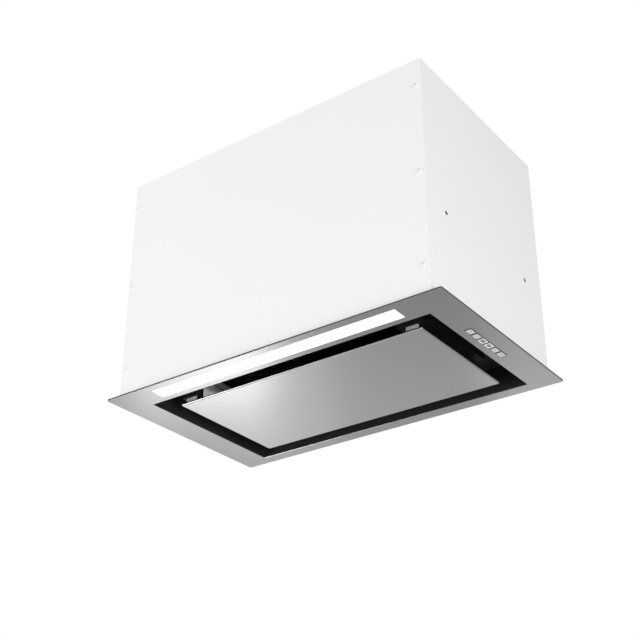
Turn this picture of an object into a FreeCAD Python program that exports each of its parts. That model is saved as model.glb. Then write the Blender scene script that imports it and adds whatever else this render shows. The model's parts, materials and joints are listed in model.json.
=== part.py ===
import FreeCAD, Part
import math
import os
import types

import Sketcher
from FreeCAD import Placement, Rotation, Vector

# A built-in range hood: a stainless faceplate under a sheet-metal casing, with a swing-down
# suction panel, a light bar, six push-buttons, a grease filter and a double-inlet blower.
# Millimetres. +X is right, -Y is the front with the light bar, +Z is up.
# The origin is the centre of the plane in which the faceplate's hem meets the furniture.

DRIVING = {
    # stainless faceplate
    "face_width": 520.0,
    "face_depth": 304.0,
    "face_thickness": 2.5,
    "face_sheet": 1.0,
    "face_corner": 3.0,
    "face_edge": 0.6,
    "hem_width": 6.0,
    "side_strip": 42.25,
    "front_strip": 45.0,
    "back_strip": 19.0,
    # sheet-metal casing
    "casing_height": 338.0,
    "casing_sheet": 1.0,
    "casing_lip": 13.0,
    "side_overlap": 17.0,
    "front_overlap": 7.0,
    "corner_leg": 14.0,
    "corner_sheet": 1.5,
    "wall_hole_radius": 3.0,
    "wall_hole_spacing": 200.0,
    "wall_hole_height": 130.0,
    # black recess behind the opening
    "tray_height": 36.0,
    "tray_sheet": 1.0,
    "tray_rim": 5.0,
    "tray_clear": 0.3,
    # suction panel
    "panel_gap_side": 27.25,
    "panel_gap_front": 25.6,
    "panel_gap_back": 23.3,
    "panel_edge": 2.6,
    "panel_sheet": 1.0,
    "panel_corner": 1.8,
    "panel_fold": 2.2,
    "stiffener_clear": 1.0,
    "stiffener_rail": 26.0,
    # tongues and magnetic catches at the panel's front edge
    "tongue_inset": 15.6,
    "tongue_width": 17.5,
    "tongue_height": 20.4,
    "tongue_sheet": 1.5,
    "tongue_setback": 3.1,
    "tongue_foot": 20.0,
    "strike_depth": 5.3,
    "catch_wall": 2.5,
    "catch_clear": 1.2,
    "catch_lift": 6.6,
    "magnet_height": 6.0,
    "magnet_gap": 0.3,
    # hinges at the panel's back edge
    "hinge_inset": 10.0,
    "hinge_from_end": 40.0,
    "hinge_rise": 8.9,
    "hinge_pin_radius": 2.0,
    "knuckle_radius": 5.0,
    "knuckle_length": 15.0,
    "hinge_leaf": 1.5,
    "hinge_leaf_length": 24.0,
    "ear_half_width": 6.0,
    "ear_sheet": 2.0,
    "ear_clear": 0.4,
    "running_clear": 0.05,
    "seat_clear": 0.02,
    # grease filter
    "filter_margin_side": 67.75,
    "filter_margin_front": 27.0,
    "filter_margin_back": 49.0,
    "filter_height": 10.0,
    "filter_sheet": 1.0,
    "filter_lip": 12.0,
    "filter_fit": 0.2,
    "rail_sheet": 1.2,
    "rail_width": 34.0,
    "rail_setback": 12.0,
    "rail_grip": 6.0,
    "rail_grip_length": 60.0,
    "rail_clear": 2.0,
    "latch_width": 36.0,
    "latch_length": 44.0,
    "latch_height": 5.0,
    "latch_bolt": 4.5,
    "latch_bolt_width": 16.0,
    "latch_travel": 6.0,
    "latch_clear": 0.4,
    "finger_hole": 22.0,
    # light bar
    "light_margin": 70.0,
    "light_height": 14.0,
    "light_wall": 1.2,
    "light_ledge": 1.5,
    "light_gap": 1.0,
    "lens_clear": 0.25,
    "lens_proud": 0.5,
    "lens_flange": 1.5,
    "end_cap": 2.0,
    "led_board_width": 12.0,
    "board_thickness": 1.6,
    "led_side": 3.0,
    "led_height": 0.8,
    # push-buttons
    "button_pitch": 15.0,
    "button_row_y": -3.5,
    "button_width": 9.0,
    "button_length": 12.0,
    "button_proud": 0.8,
    "button_clear": 0.3,
    "button_flange": 0.8,
    "button_flange_sheet": 1.0,
    "button_travel": 1.5,
    "stem_radius": 1.9,
    "stem_entry": 1.0,
    "switch_side": 6.5,
    "switch_height": 5.0,
    "switch_lift": 2.0,
    "control_gap": 0.5,
    "control_wall": 1.2,
    "control_height": 17.0,
    "control_end": 9.0,
    "post_radius": 2.0,
    # screws
    "screw_radius": 1.9,
    "screw_clear": 0.1,
    "screw_length": 7.0,
    "screw_head_radius": 3.5,
    "screw_head_height": 1.8,
    "screw_recess": 0.9,
    # outlet collar with two non-return flaps
    "collar_radius": 74.5,
    "collar_wall": 2.0,
    "collar_height": 50.0,
    "collar_flange_radius": 92.0,
    "collar_flange": 2.5,
    "collar_screw_circle": 83.5,
    "spindle_radius": 2.0,
    "spindle_rise": 14.0,
    "flap_thickness": 1.6,
    "flap_clear": 1.0,
    "flap_root": 6.0,
    "flap_knuckle": 3.5,
    "flap_rest_gap": 0.2,
    "ledge_width": 4.0,
    "ledge_height": 2.0,
    # blower
    "blower_width": 150.0,
    "blower_front_gap": 10.5,
    "scroll_sheet": 1.2,
    "scroll_growth": 9.0,
    "throat_height": 60.0,
    "inlet_radius": 56.0,
    "inlet_lip": 8.0,
    "mount_lip": 16.0,
    "impeller_radius": 70.0,
    "impeller_gap": 10.0,
    "impeller_side_gap": 6.0,
    "impeller_disc": 2.0,
    "blade_depth": 12.0,
    "blade_sheet": 1.0,
    "impeller_ring": 4.0,
    "hub_radius": 13.0,
    "hub_length": 24.0,
    "shaft_radius": 4.0,
    "motor_radius": 42.0,
    "motor_boss_radius": 16.0,
    "motor_boss": 6.0,
    "motor_gap": 2.0,
    "bush_radius": 6.0,
    "bush_length": 9.0,
    "bush_circle": 66.0,
    "arm_width": 14.0,
    "arm_sheet": 2.0,
    # electrics on the left wall, and the mains lead's gland
    "electrics_depth": 45.0,
    "electrics_width": 130.0,
    "electrics_height": 80.0,
    "electrics_floor": 90.0,
    "electrics_sheet": 1.0,
    "standoff": 5.0,
    "electrics_clear": 8.0,
    "capacitor_radius": 14.0,
    "capacitor_length": 55.0,
    "terminal_length": 40.0,
    "terminal_side": 16.0,
    "gland_inset_x": 45.0,
    "gland_inset_y": 45.0,
    "gland_bore": 4.0,
    "gland_barrel": 8.0,
    "gland_flange": 12.0,
    "gland_flange_height": 6.0,
    "gland_length": 12.0,
    "gland_clear": 0.2,
    # how far a cutting tool runs past what it cuts
    "overrun": 5.0,
}

BUTTON_COUNT = 6
LED_COUNT = 24
BLADE_COUNT = 32
SIDE_SCREW_SHARES = (0.12, 0.5, 0.88)
TOP_SCREW_SHARES = (-0.6, 0.0, 0.6)
FRONT_KNUCKLE_SHARES = ((-0.78, -0.42), (0.06, 0.38))
BACK_KNUCKLE_SHARES = ((-0.38, -0.06), (0.42, 0.78))
STIFFENER_WINDOWS = 3
BLADE_LEAN_SHARE = 0.6

doc = FreeCAD.newDocument("built_in_hood")
sheet = doc.addObject("Spreadsheet::Sheet", "Sizes")


class Size:
    """A named size of the sheet, or a sum of such sizes: its expression and its present value."""

    def __init__(self, text, value):
        self.text = text
        self.value = value

    def joined(self, sign, left, right, value):
        return Size(f"({left.text} {sign} {right.text})", value)

    def __add__(self, other):
        other = as_size(other)
        return self.joined("+", self, other, self.value + other.value)

    def __sub__(self, other):
        other = as_size(other)
        return self.joined("-", self, other, self.value - other.value)

    def __mul__(self, other):
        other = as_size(other)
        return self.joined("*", self, other, self.value * other.value)

    def __truediv__(self, other):
        other = as_size(other)
        return self.joined("/", self, other, self.value / other.value)

    def __neg__(self):
        return self * -1

    __rmul__ = __mul__
    __radd__ = __add__


def as_size(number):
    return number if isinstance(number, Size) else Size(f"({float(number)!r})", float(number))


def fill_sheet():
    """Write the driving dimensions into the sheet and hand them back by name."""
    for row, (alias, number) in enumerate(DRIVING.items(), start=1):
        sheet.set(f"A{row}", alias)
        sheet.set(f"B{row}", str(number))
        sheet.setAlias(f"B{row}", alias)
    doc.recompute()
    return {alias: Size(f"Sizes.{alias}", float(sheet.get(alias))) for alias in DRIVING}


mm = types.SimpleNamespace(**fill_sheet())
nodes = []

# Levels and edges that several pieces share.
deck = mm.face_sheet - mm.face_thickness
casing_x = mm.face_width / 2 - mm.side_overlap
casing_y = mm.face_depth / 2 - mm.front_overlap
inner_x = casing_x - mm.casing_sheet
inner_y = casing_y - mm.casing_sheet
top = mm.casing_height
ceiling = top - mm.casing_sheet

opening_x = mm.face_width / 2 - mm.side_strip
opening_front = mm.front_strip - mm.face_depth / 2
opening_back = mm.face_depth / 2 - mm.back_strip
tray_outside = mm.tray_clear + mm.tray_sheet
tray_under = mm.tray_height - mm.tray_sheet

panel_x = opening_x - mm.panel_gap_side
panel_front = opening_front + mm.panel_gap_front
panel_back = opening_back - mm.panel_gap_back
panel_top = mm.panel_edge - mm.face_thickness

hinge_x = panel_x - mm.hinge_from_end
hinge_y = panel_back - mm.hinge_inset
hinge_z = panel_top + mm.hinge_rise

filter_x = opening_x - mm.filter_margin_side
filter_front = opening_front + mm.filter_margin_front
filter_back = opening_back - mm.filter_margin_back
filter_y = (filter_front + filter_back) / 2
filter_low = tray_under - mm.filter_height

light_front = mm.light_gap - inner_y
light_back = opening_front - tray_outside - mm.tray_rim - mm.light_gap
light_y = (light_front + light_back) / 2
light_top = deck + mm.light_height
light_x = mm.face_width / 2 - mm.light_margin
light_end = light_x + mm.light_ledge
lens_front = light_front + mm.light_wall + mm.light_ledge
lens_back = light_back - mm.light_wall - mm.light_ledge

control_left = opening_x + tray_outside + mm.tray_rim + mm.control_gap
control_right = inner_x - mm.control_gap
button_x = (control_left + control_right) / 2

scroll_radius = mm.impeller_radius + mm.impeller_gap
scroll_reach = scroll_radius + 3 * mm.scroll_growth
blower_y = mm.blower_front_gap + scroll_radius - inner_y
outlet_y = blower_y + scroll_reach / 2
blower_z = ceiling - mm.throat_height - scroll_radius
blower_side = mm.blower_width / 2
spindle_z = top + mm.spindle_rise

TURNS = {
    "X": Rotation(Vector(0, 1, 0), 90),
    "Y": Rotation(Vector(1, 0, 0), -90),
    "Z": Rotation(),
}


def place(item, x, y, z):
    for axis, where in zip("xyz", (x, y, z)):
        item.setExpression(f"Placement.Base.{axis}", as_size(where).text)
    return item


def block(name, x, y, z):
    """A box between three (low, high) pairs."""
    solid = doc.addObject("Part::Box", name)
    for side, (low, high) in zip(("Length", "Width", "Height"), (x, y, z)):
        solid.setExpression(side, (as_size(high) - low).text)
    return place(solid, x[0], y[0], z[0])


def rod(name, axis, radius, x, y, z):
    """A round rod: the coordinate along its axis is a (low, high) pair."""
    low, high = {"X": x, "Y": y, "Z": z}[axis]
    solid = doc.addObject("Part::Cylinder", name)
    solid.setExpression("Radius", as_size(radius).text)
    solid.setExpression("Height", (as_size(high) - low).text)
    solid.Placement = Placement(Vector(), TURNS[axis])
    start = [low if letter == axis else where for letter, where in zip("XYZ", (x, y, z))]
    return place(solid, *start)


def join(name, *pieces):
    solid = doc.addObject("Part::MultiFuse", name)
    solid.Shapes = list(pieces)
    solid.Refine = True
    return solid


def cut(name, base, *tools):
    solid = doc.addObject("Part::Cut", name)
    solid.Base = base
    solid.Tool = tools[0] if len(tools) == 1 else join(f"{name}_tools", *tools)
    return solid


def group(name, pieces):
    """Several like solids in one sub-part."""
    many = doc.addObject("Part::Compound", name)
    many.Links = list(pieces)
    return many


def node(label, item):
    """Make an object one of the sub-parts, under the name of its file."""
    item.Label = label
    nodes.append(item)
    return item


def around(middle, half):
    return (middle - half, middle + half)


def both(half):
    return (-half, half)


def facing(sign, low, high):
    """A (low, high) pair on the right, or its mirror image on the left."""
    return (low, high) if sign > 0 else (-high, -low)


SIDES = (("left", -1), ("right", 1))


def new_body(name):
    return doc.addObject("PartDesign::Body", name)


def sketch_on(body, name, role, level=0):
    sketch = body.newObject("Sketcher::SketchObject", name)
    plane = next(item for item in body.Origin.OriginFeatures if item.Role == role)
    sketch.AttachmentSupport = [(plane, "")]
    sketch.MapMode = "FlatFace"
    sketch.setExpression("AttachmentOffset.Base.z", as_size(level).text)
    return sketch


def outline(sketch, points):
    """A closed line through points, each held at its place by the sheet."""
    points = [tuple(as_size(part) for part in point) for point in points]
    first = sketch.GeometryCount
    count = len(points)
    for index, (u, v) in enumerate(points):
        end = points[(index + 1) % count]
        start_at = Vector(u.value, v.value, 0)
        end_at = Vector(end[0].value, end[1].value, 0)
        sketch.addGeometry(Part.LineSegment(start_at, end_at), False)
    for index in range(count):
        after = first + (index + 1) % count
        sketch.addConstraint(Sketcher.Constraint("Coincident", first + index, 2, after, 1))
    for index, point in enumerate(points):
        for kind, axis, part in zip(("DistanceX", "DistanceY"), (-2, -1), point):
            if part.value == 0:
                sketch.addConstraint(Sketcher.Constraint("PointOnObject", first + index, 1, axis))
                continue
            held = Sketcher.Constraint(kind, -1, 1, first + index, 1, part.value)
            number = sketch.addConstraint(held)
            sketch.setExpression(f"Constraints[{number}]", part.text)


def rectangle(sketch, x, y):
    outline(sketch, [(x[0], y[0]), (x[1], y[0]), (x[1], y[1]), (x[0], y[1])])


def feature(body, kind, name, sketch, **sizes):
    made = body.newObject(f"PartDesign::{kind}", name)
    made.Profile = sketch
    for setting, size in sizes.items():
        made.setExpression(setting, as_size(size).text)
    return made


def turned(body, name, sketch):
    """A full revolution about the sketch's upright axis."""
    made = body.newObject("PartDesign::Revolution", name)
    made.Profile = sketch
    made.ReferenceAxis = (sketch, ["V_Axis"])
    made.Angle = 360
    return made


def rounded(body, name, base, wanted, radius):
    """Fillet those edges of a feature that the test picks out."""
    doc.recompute()
    edges = [f"Edge{n}" for n, edge in enumerate(base.Shape.Edges, 1) if wanted(edge)]
    made = body.newObject("PartDesign::Fillet", name)
    made.Base = (base, edges)
    made.setExpression("Radius", radius.text)
    return made


def is_upright(edge):
    along = edge.tangentAt(edge.FirstParameter)
    return abs(along.z) > 0.99


def lies_at(level):
    def test(edge):
        return all(abs(point.Z - level.value) < 1e-6 for point in edge.Vertexes)

    return test


def screw(name, axis, sign, at):
    """A cross-head screw: its head sits on the point at, and looks along the signed axis."""
    along = "XYZ".index(axis)

    def between(low, high):
        where = list(at)
        ends = (at[along] + low, at[along] + high)
        where[along] = ends if sign > 0 else (at[along] - high, at[along] - low)
        return where

    def slot(across):
        half_width = mm.screw_recess / 2
        half_length = mm.screw_head_radius - mm.screw_recess
        box = []
        for index in range(3):
            half = half_length if index == across else half_width
            box.append(around(at[index], half))
        deep = between(mm.screw_head_height - mm.screw_recess, mm.screw_head_height + mm.screw_recess)
        box[along] = deep[along]
        return block(f"{name}_slot", *box)

    head = rod(f"{name}_head", axis, mm.screw_head_radius, *between(as_size(0), mm.screw_head_height))
    shank = rod(f"{name}_shank", axis, mm.screw_radius, *between(-mm.screw_length, as_size(0)))
    slots = [slot(index) for index in range(3) if index != along]
    return cut(name, join(f"{name}_blank", head, shank), *slots)


def screw_hole(name, axis, at, reach):
    """The hole for such a screw, cut through everything within reach of the point."""
    where = list(at)
    along = "XYZ".index(axis)
    where[along] = around(at[along], reach)
    return rod(name, axis, mm.screw_radius + mm.screw_clear, *where)


def button_places():
    middle = (BUTTON_COUNT - 1) / 2
    return [mm.button_row_y + mm.button_pitch * (index - middle) for index in range(BUTTON_COUNT)]


def make_faceplate():
    body = new_body("faceplate_body")
    flat = sketch_on(body, "face_outline", "XY_Plane", -mm.face_thickness)
    rectangle(flat, both(mm.face_width / 2), both(mm.face_depth / 2))
    slab = feature(body, "Pad", "face_slab", flat, Length=mm.face_thickness)
    corners = rounded(body, "face_corners", slab, is_upright, mm.face_corner)
    rounded(body, "face_edges", corners, lies_at(-mm.face_thickness), mm.face_edge)
    hollow = sketch_on(body, "hem_inside", "XY_Plane")
    rectangle(hollow, both(mm.face_width / 2 - mm.hem_width), both(mm.face_depth / 2 - mm.hem_width))
    feature(body, "Pocket", "hem_hollow", hollow, Length=mm.face_thickness - mm.face_sheet)
    windows = sketch_on(body, "window_outlines", "XY_Plane")
    rectangle(windows, both(opening_x), (opening_front, opening_back))
    rectangle(windows, both(light_x), (lens_front, lens_back))
    half_width = mm.button_width / 2 + mm.button_clear
    half_length = mm.button_length / 2 + mm.button_clear
    for place_y in button_places():
        rectangle(windows, around(button_x, half_width), around(place_y, half_length))
    feature(body, "Pocket", "windows", windows, Length=mm.face_thickness + mm.overrun)
    node("faceplate", body)


def side_screw_points(sign_x, sign_y):
    x = (inner_x - mm.casing_lip / 2) * sign_x
    return [(x, casing_y * sign_y, mm.casing_height * share) for share in SIDE_SCREW_SHARES]


def top_screw_points(sign_x):
    x = (inner_x - mm.casing_lip / 2) * sign_x
    return [(x, casing_y * share, top) for share in TOP_SCREW_SHARES]


def collar_screw_points():
    reach = mm.collar_screw_circle
    level = top + mm.collar_flange
    zero = as_size(0)
    beside = [(end, outlet_y, level) for end in (reach, -reach)]
    return beside + [(zero, outlet_y + end, level) for end in (reach, -reach)]


def make_casing():
    thick = mm.casing_sheet
    reach = mm.screw_length
    for name, sign in (("casing_front", -1), ("casing_back", 1)):
        plate = block(f"{name}_plate", both(casing_x), facing(sign, inner_y, casing_y), (deck, ceiling))
        points = side_screw_points(-1, sign) + side_screw_points(1, sign)
        holes = [screw_hole(f"{name}_hole", "Y", point, reach) for point in points]
        node(name, cut(f"{name}_cut", plate, *holes))
    for side, sign in SIDES:
        name = f"casing_{side}"
        wall = block(f"{name}_wall", facing(sign, inner_x, casing_x), both(inner_y), (deck, ceiling))
        lip_x = facing(sign, inner_x - mm.casing_lip, inner_x)
        lip_front = block(f"{name}_front_lip", lip_x, (-inner_y, thick - inner_y), (deck, ceiling))
        lip_back = block(f"{name}_back_lip", lip_x, (inner_y - thick, inner_y), (deck, ceiling))
        lip_top = block(
            f"{name}_top_lip", lip_x, both(inner_y - mm.casing_lip), (ceiling - thick, ceiling)
        )
        points = side_screw_points(sign, -1) + side_screw_points(sign, 1)
        holes = [screw_hole(f"{name}_hole", "Y", point, reach) for point in points]
        holes += [screw_hole(f"{name}_hole", "Z", point, reach) for point in top_screw_points(sign)]
        for end in (-1, 1):
            holes.append(
                rod(
                    f"{name}_fixing_hole",
                    "X",
                    mm.wall_hole_radius,
                    around(casing_x * sign, mm.overrun),
                    mm.wall_hole_spacing / 2 * end,
                    mm.wall_hole_height,
                )
            )
        folded = join(f"{name}_folded", wall, lip_front, lip_back, lip_top)
        node(name, cut(f"{name}_cut", folded, *holes))
    make_casing_top()
    legs = []
    for sign_x in (-1, 1):
        for sign_y in (-1, 1):
            y = facing(sign_y, inner_y - thick - mm.corner_leg, inner_y - thick)
            foot_x = facing(sign_x, inner_x - mm.corner_leg, inner_x)
            leg_x = facing(sign_x, inner_x - mm.corner_sheet, inner_x)
            foot = block("corner_foot", foot_x, y, (deck, deck + mm.corner_sheet))
            leg = block("corner_upright", leg_x, y, (deck, deck + mm.corner_leg))
            legs.append(join("corner_bracket", foot, leg))
    node("corner_brackets", group("corner_bracket_set", legs))
    screws = []
    for sign_x in (-1, 1):
        for sign_y in (-1, 1):
            for point in side_screw_points(sign_x, sign_y):
                screws.append(screw("side_screw", "Y", sign_y, point))
        for point in top_screw_points(sign_x):
            screws.append(screw("top_screw", "Z", 1, point))
    node("casing_screws", group("casing_screw_set", screws))


def gland_place():
    return mm.gland_inset_x - casing_x, casing_y - mm.gland_inset_y


def make_casing_top():
    plate = block("top_plate", both(casing_x), both(casing_y), (ceiling, top))
    through = around(top, mm.overrun)
    gland_x, gland_y = gland_place()
    holes = [
        rod("duct_hole", "Z", mm.collar_radius - mm.collar_wall, 0, outlet_y, through),
        rod("gland_hole", "Z", mm.gland_barrel + mm.gland_clear, gland_x, gland_y, through),
    ]
    for point in top_screw_points(-1) + top_screw_points(1) + collar_screw_points():
        holes.append(screw_hole("top_hole", "Z", point, mm.screw_length))
    node("casing_top", cut("top_cut", plate, *holes))


def make_tray():
    outside = opening_x + tray_outside
    y_out = (opening_front - tray_outside, opening_back + tray_outside)
    shell = block("tray_shell", both(outside), y_out, (deck, mm.tray_height))
    rim_y = (y_out[0] - mm.tray_rim, y_out[1] + mm.tray_rim)
    rim = block("tray_flange", both(outside + mm.tray_rim), rim_y, (deck, deck + mm.tray_sheet))
    hollow = block(
        "tray_hollow",
        both(opening_x + mm.tray_clear),
        (opening_front - mm.tray_clear, opening_back + mm.tray_clear),
        (deck - mm.overrun, tray_under),
    )
    window = block(
        "filter_window",
        both(filter_x - mm.filter_lip),
        (filter_front + mm.filter_lip, filter_back - mm.filter_lip),
        around(mm.tray_height, mm.overrun),
    )
    node("suction_tray", cut("tray_cut", join("tray_blank", shell, rim), hollow, window))


def make_panel():
    body = new_body("panel_body")
    flat = sketch_on(body, "panel_outline", "XY_Plane", -mm.face_thickness)
    rectangle(flat, both(panel_x), (panel_front, panel_back))
    feature(body, "Pad", "panel_slab", flat, Length=mm.panel_edge)
    hollow = sketch_on(body, "panel_inside", "XY_Plane", panel_top)
    wall = mm.panel_sheet
    rectangle(hollow, both(panel_x - wall), (panel_front + wall, panel_back - wall))
    pan = feature(body, "Pocket", "panel_hollow", hollow, Length=mm.panel_edge - wall)

    def is_corner(half_width):
        def test(edge):
            return is_upright(edge) and abs(abs(edge.BoundBox.Center.x) - half_width.value) < 1e-6

        return test

    inner = rounded(body, "panel_inner_corners", pan, is_corner(panel_x - wall), mm.panel_corner - wall)
    outer = rounded(body, "panel_corners", inner, is_corner(panel_x), mm.panel_corner)
    rounded(body, "panel_edges", outer, lies_at(-mm.face_thickness), mm.panel_fold)
    node("panel_skin", body)
    make_stiffener()
    make_tongues()
    make_panel_hinges()


def make_stiffener():
    edge = mm.panel_sheet + mm.stiffener_clear
    x_end = panel_x - edge
    front = panel_front + edge
    back = panel_back - edge
    low = mm.panel_sheet - mm.face_thickness
    plate = block("stiffener_plate", both(x_end), (front, back), (low, panel_top))
    rail = mm.stiffener_rail
    bay = (x_end * 2 - rail * (STIFFENER_WINDOWS + 1)) / STIFFENER_WINDOWS
    windows = []
    for index in range(STIFFENER_WINDOWS):
        start = rail - x_end + (bay + rail) * index
        through = (low - mm.overrun, panel_top + mm.overrun)
        windows.append(
            block("stiffener_window", (start, start + bay), (front + rail, back - rail), through)
        )
    node("panel_stiffener", cut("stiffener_cut", plate, *windows))


def make_tongues():
    """Tongues stand at the panel's front edge, and magnets in black catches hold their bent tops."""
    front = panel_front + mm.tongue_setback
    tongue_top = panel_top + mm.tongue_height
    half = mm.tongue_width / 2
    magnets = []
    for side, sign in SIDES:
        middle = (panel_x - mm.tongue_inset) * sign
        x = around(middle, half)
        name = f"panel_tongue_{side}"
        foot_y = (front, front + mm.tongue_foot)
        foot = block(f"{name}_foot", x, foot_y, (panel_top, panel_top + mm.tongue_sheet))
        stem_y = (front, front + mm.tongue_sheet)
        stem = block(f"{name}_stem", x, stem_y, (panel_top, tongue_top))
        strike_y = (front, front + mm.strike_depth)
        strike = block(f"{name}_strike", x, strike_y, (tongue_top - mm.tongue_sheet, tongue_top))
        node(name, join(f"{name}_bent", foot, stem, strike))

        magnet_low = tongue_top + mm.magnet_gap
        magnet_top = magnet_low + mm.magnet_height
        magnet_y = (front + mm.tongue_sheet, front + mm.strike_depth)
        magnets.append(block("catch_magnet", x, magnet_y, (magnet_low, magnet_top)))
        room_half = half + mm.catch_clear
        room_y = (front - mm.catch_clear, front + mm.strike_depth + mm.catch_clear)
        low = panel_top + mm.catch_lift
        case_y = (room_y[0] - mm.catch_wall, room_y[1] + mm.catch_wall)
        case = block(
            f"catch_{side}_case", around(middle, room_half + mm.catch_wall), case_y, (low, tray_under)
        )
        room = block(
            f"catch_{side}_room", around(middle, room_half), room_y, (low - mm.overrun, magnet_top)
        )
        node(f"catch_{side}", cut(f"catch_{side}_cut", case, room))
    node("catch_magnets", group("catch_magnet_set", magnets))


def make_panel_hinges():
    half = mm.knuckle_length / 2
    pins = []
    for side, sign in SIDES:
        middle = hinge_x * sign
        x = around(middle, half)
        name = f"panel_hinge_{side}"
        barrel = rod(f"{name}_barrel", "X", mm.knuckle_radius, x, hinge_y, hinge_z)
        web_y = around(hinge_y, mm.hinge_pin_radius)
        web = block(f"{name}_web", x, web_y, (panel_top, hinge_z))
        leaf_y = (hinge_y - mm.hinge_leaf_length, hinge_y + mm.knuckle_radius)
        leaf = block(f"{name}_leaf", x, leaf_y, (panel_top, panel_top + mm.hinge_leaf))
        past = (x[0] - mm.overrun, x[1] + mm.overrun)
        bore_radius = mm.hinge_pin_radius + mm.running_clear
        bore = rod(f"{name}_bore", "X", bore_radius, past, hinge_y, hinge_z)
        node(name, cut(f"{name}_cut", join(f"{name}_blank", barrel, web, leaf), bore))

        bracket = f"hinge_bracket_{side}"
        ear_low = half + mm.ear_clear
        ear_high = ear_low + mm.ear_sheet
        ears = []
        for end in (-1, 1):
            low, high = facing(end, ear_low, ear_high)
            ear_x = (middle + low, middle + high)
            ear_y = around(hinge_y, mm.ear_half_width)
            ears.append(block(f"{bracket}_ear", ear_x, ear_y, (hinge_z, tray_under)))
            ears.append(rod(f"{bracket}_eye", "X", mm.ear_half_width, ear_x, hinge_y, hinge_z))
        base = block(
            f"{bracket}_base",
            around(middle, ear_high),
            (hinge_y - mm.ear_half_width * 2, hinge_y + mm.ear_half_width),
            (tray_under - mm.ear_sheet, tray_under),
        )
        past = around(middle, ear_high + mm.overrun)
        eye_radius = mm.hinge_pin_radius + mm.seat_clear
        eye = rod(f"{bracket}_bore", "X", eye_radius, past, hinge_y, hinge_z)
        node(bracket, cut(f"{bracket}_cut", join(f"{bracket}_blank", base, *ears), eye))
        pin_x = around(middle, ear_high + mm.ear_sheet)
        pins.append(rod("hinge_pin", "X", mm.hinge_pin_radius, pin_x, hinge_y, hinge_z))
    node("hinge_pins", group("hinge_pin_set", pins))


def make_filter():
    wall = mm.filter_sheet
    y = (filter_front, filter_back)
    low = filter_low
    high = tray_under
    blank = block("filter_blank", both(filter_x), y, (low, high))
    inside_y = (y[0] + wall, y[1] - wall)
    inside = block("filter_inside", both(filter_x - wall), inside_y, (low + wall, high - wall))
    face_y = (y[0] + mm.filter_lip, y[1] - mm.filter_lip)
    past = (low - mm.overrun, high + mm.overrun)
    face = block("filter_face", both(filter_x - mm.filter_lip), face_y, past)
    bolt_low = (low + high - mm.latch_height) / 2
    bolt_high = bolt_low + mm.latch_height
    slot_z = (bolt_low - mm.latch_clear, bolt_high + mm.latch_clear)
    slot_y = around(filter_y, mm.latch_bolt_width / 2 + mm.latch_clear)
    frame_slot = block("filter_bolt_slot", around(filter_x, wall * 2), slot_y, slot_z)
    node("filter_frame", cut("filter_frame_cut", blank, inside, face, frame_slot))

    fit = wall + mm.filter_fit
    mesh_y = (y[0] + fit, y[1] - fit)
    pack = block("mesh_pack", both(filter_x - fit), mesh_y, (low + fit, high - fit))
    latch_end = filter_x - wall - mm.latch_clear
    latch_start = latch_end - mm.latch_length
    room_x = (latch_start - mm.latch_travel - mm.latch_clear, filter_x)
    room_y = around(filter_y, mm.latch_width / 2 + mm.latch_clear)
    node("filter_mesh", cut("mesh_cut", pack, block("latch_room", room_x, room_y, past)))

    latch_x = (latch_start + mm.latch_travel, latch_end)
    slider_y = around(filter_y, mm.latch_width / 2)
    slider = block("latch_slider", latch_x, slider_y, (bolt_low, bolt_high))
    bolt_x = (latch_end - mm.latch_travel, filter_x + rail_gap() + mm.rail_sheet + mm.latch_bolt)
    bolt_y = around(filter_y, mm.latch_bolt_width / 2)
    bolt = block("latch_bolt_end", bolt_x, bolt_y, (bolt_low, bolt_high))
    half_hole = mm.finger_hole / 2
    latch_middle = (latch_x[0] + latch_x[1]) / 2
    hole = block(
        "finger_opening", around(latch_middle, half_hole / 2), around(filter_y, half_hole), past
    )
    node("filter_latch", cut("latch_cut", join("latch_blank", slider, bolt), hole))
    make_rails(slot_y, slot_z)


def rail_gap():
    return mm.latch_clear


def make_rails(slot_y, slot_z):
    """A tab of the left rail carries the filter's edge, and the right rail takes the latch's bolt."""
    thick = mm.rail_sheet
    y = (filter_front + mm.rail_setback, filter_back)
    shelf_z = (filter_low - thick, filter_low)
    tall = (filter_low - thick, tray_under)
    outer = filter_x + mm.rail_width
    left_shelf = block("left_shelf", (-outer, -filter_x - mm.rail_clear), y, shelf_z)
    tab_y = around(filter_y, mm.rail_grip_length / 2)
    left_tab = block("left_tab", (-outer, mm.rail_grip - filter_x), tab_y, shelf_z)
    left_leg = block("left_leg", (-outer, thick - outer), y, tall)
    node("filter_rail_left", join("left_rail", left_shelf, left_tab, left_leg))
    keeper = filter_x + rail_gap()
    right_shelf = block("right_shelf", (keeper, outer), y, shelf_z)
    right_leg = block("right_leg", (outer - thick, outer), y, tall)
    right_keeper = block("right_keeper", (keeper, keeper + thick), y, tall)
    slot = block("keeper_slot", around(keeper, thick * 2), slot_y, slot_z)
    rail = join("right_rail", right_shelf, right_leg, right_keeper)
    node("filter_rail_right", cut("right_rail_cut", rail, slot))


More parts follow.
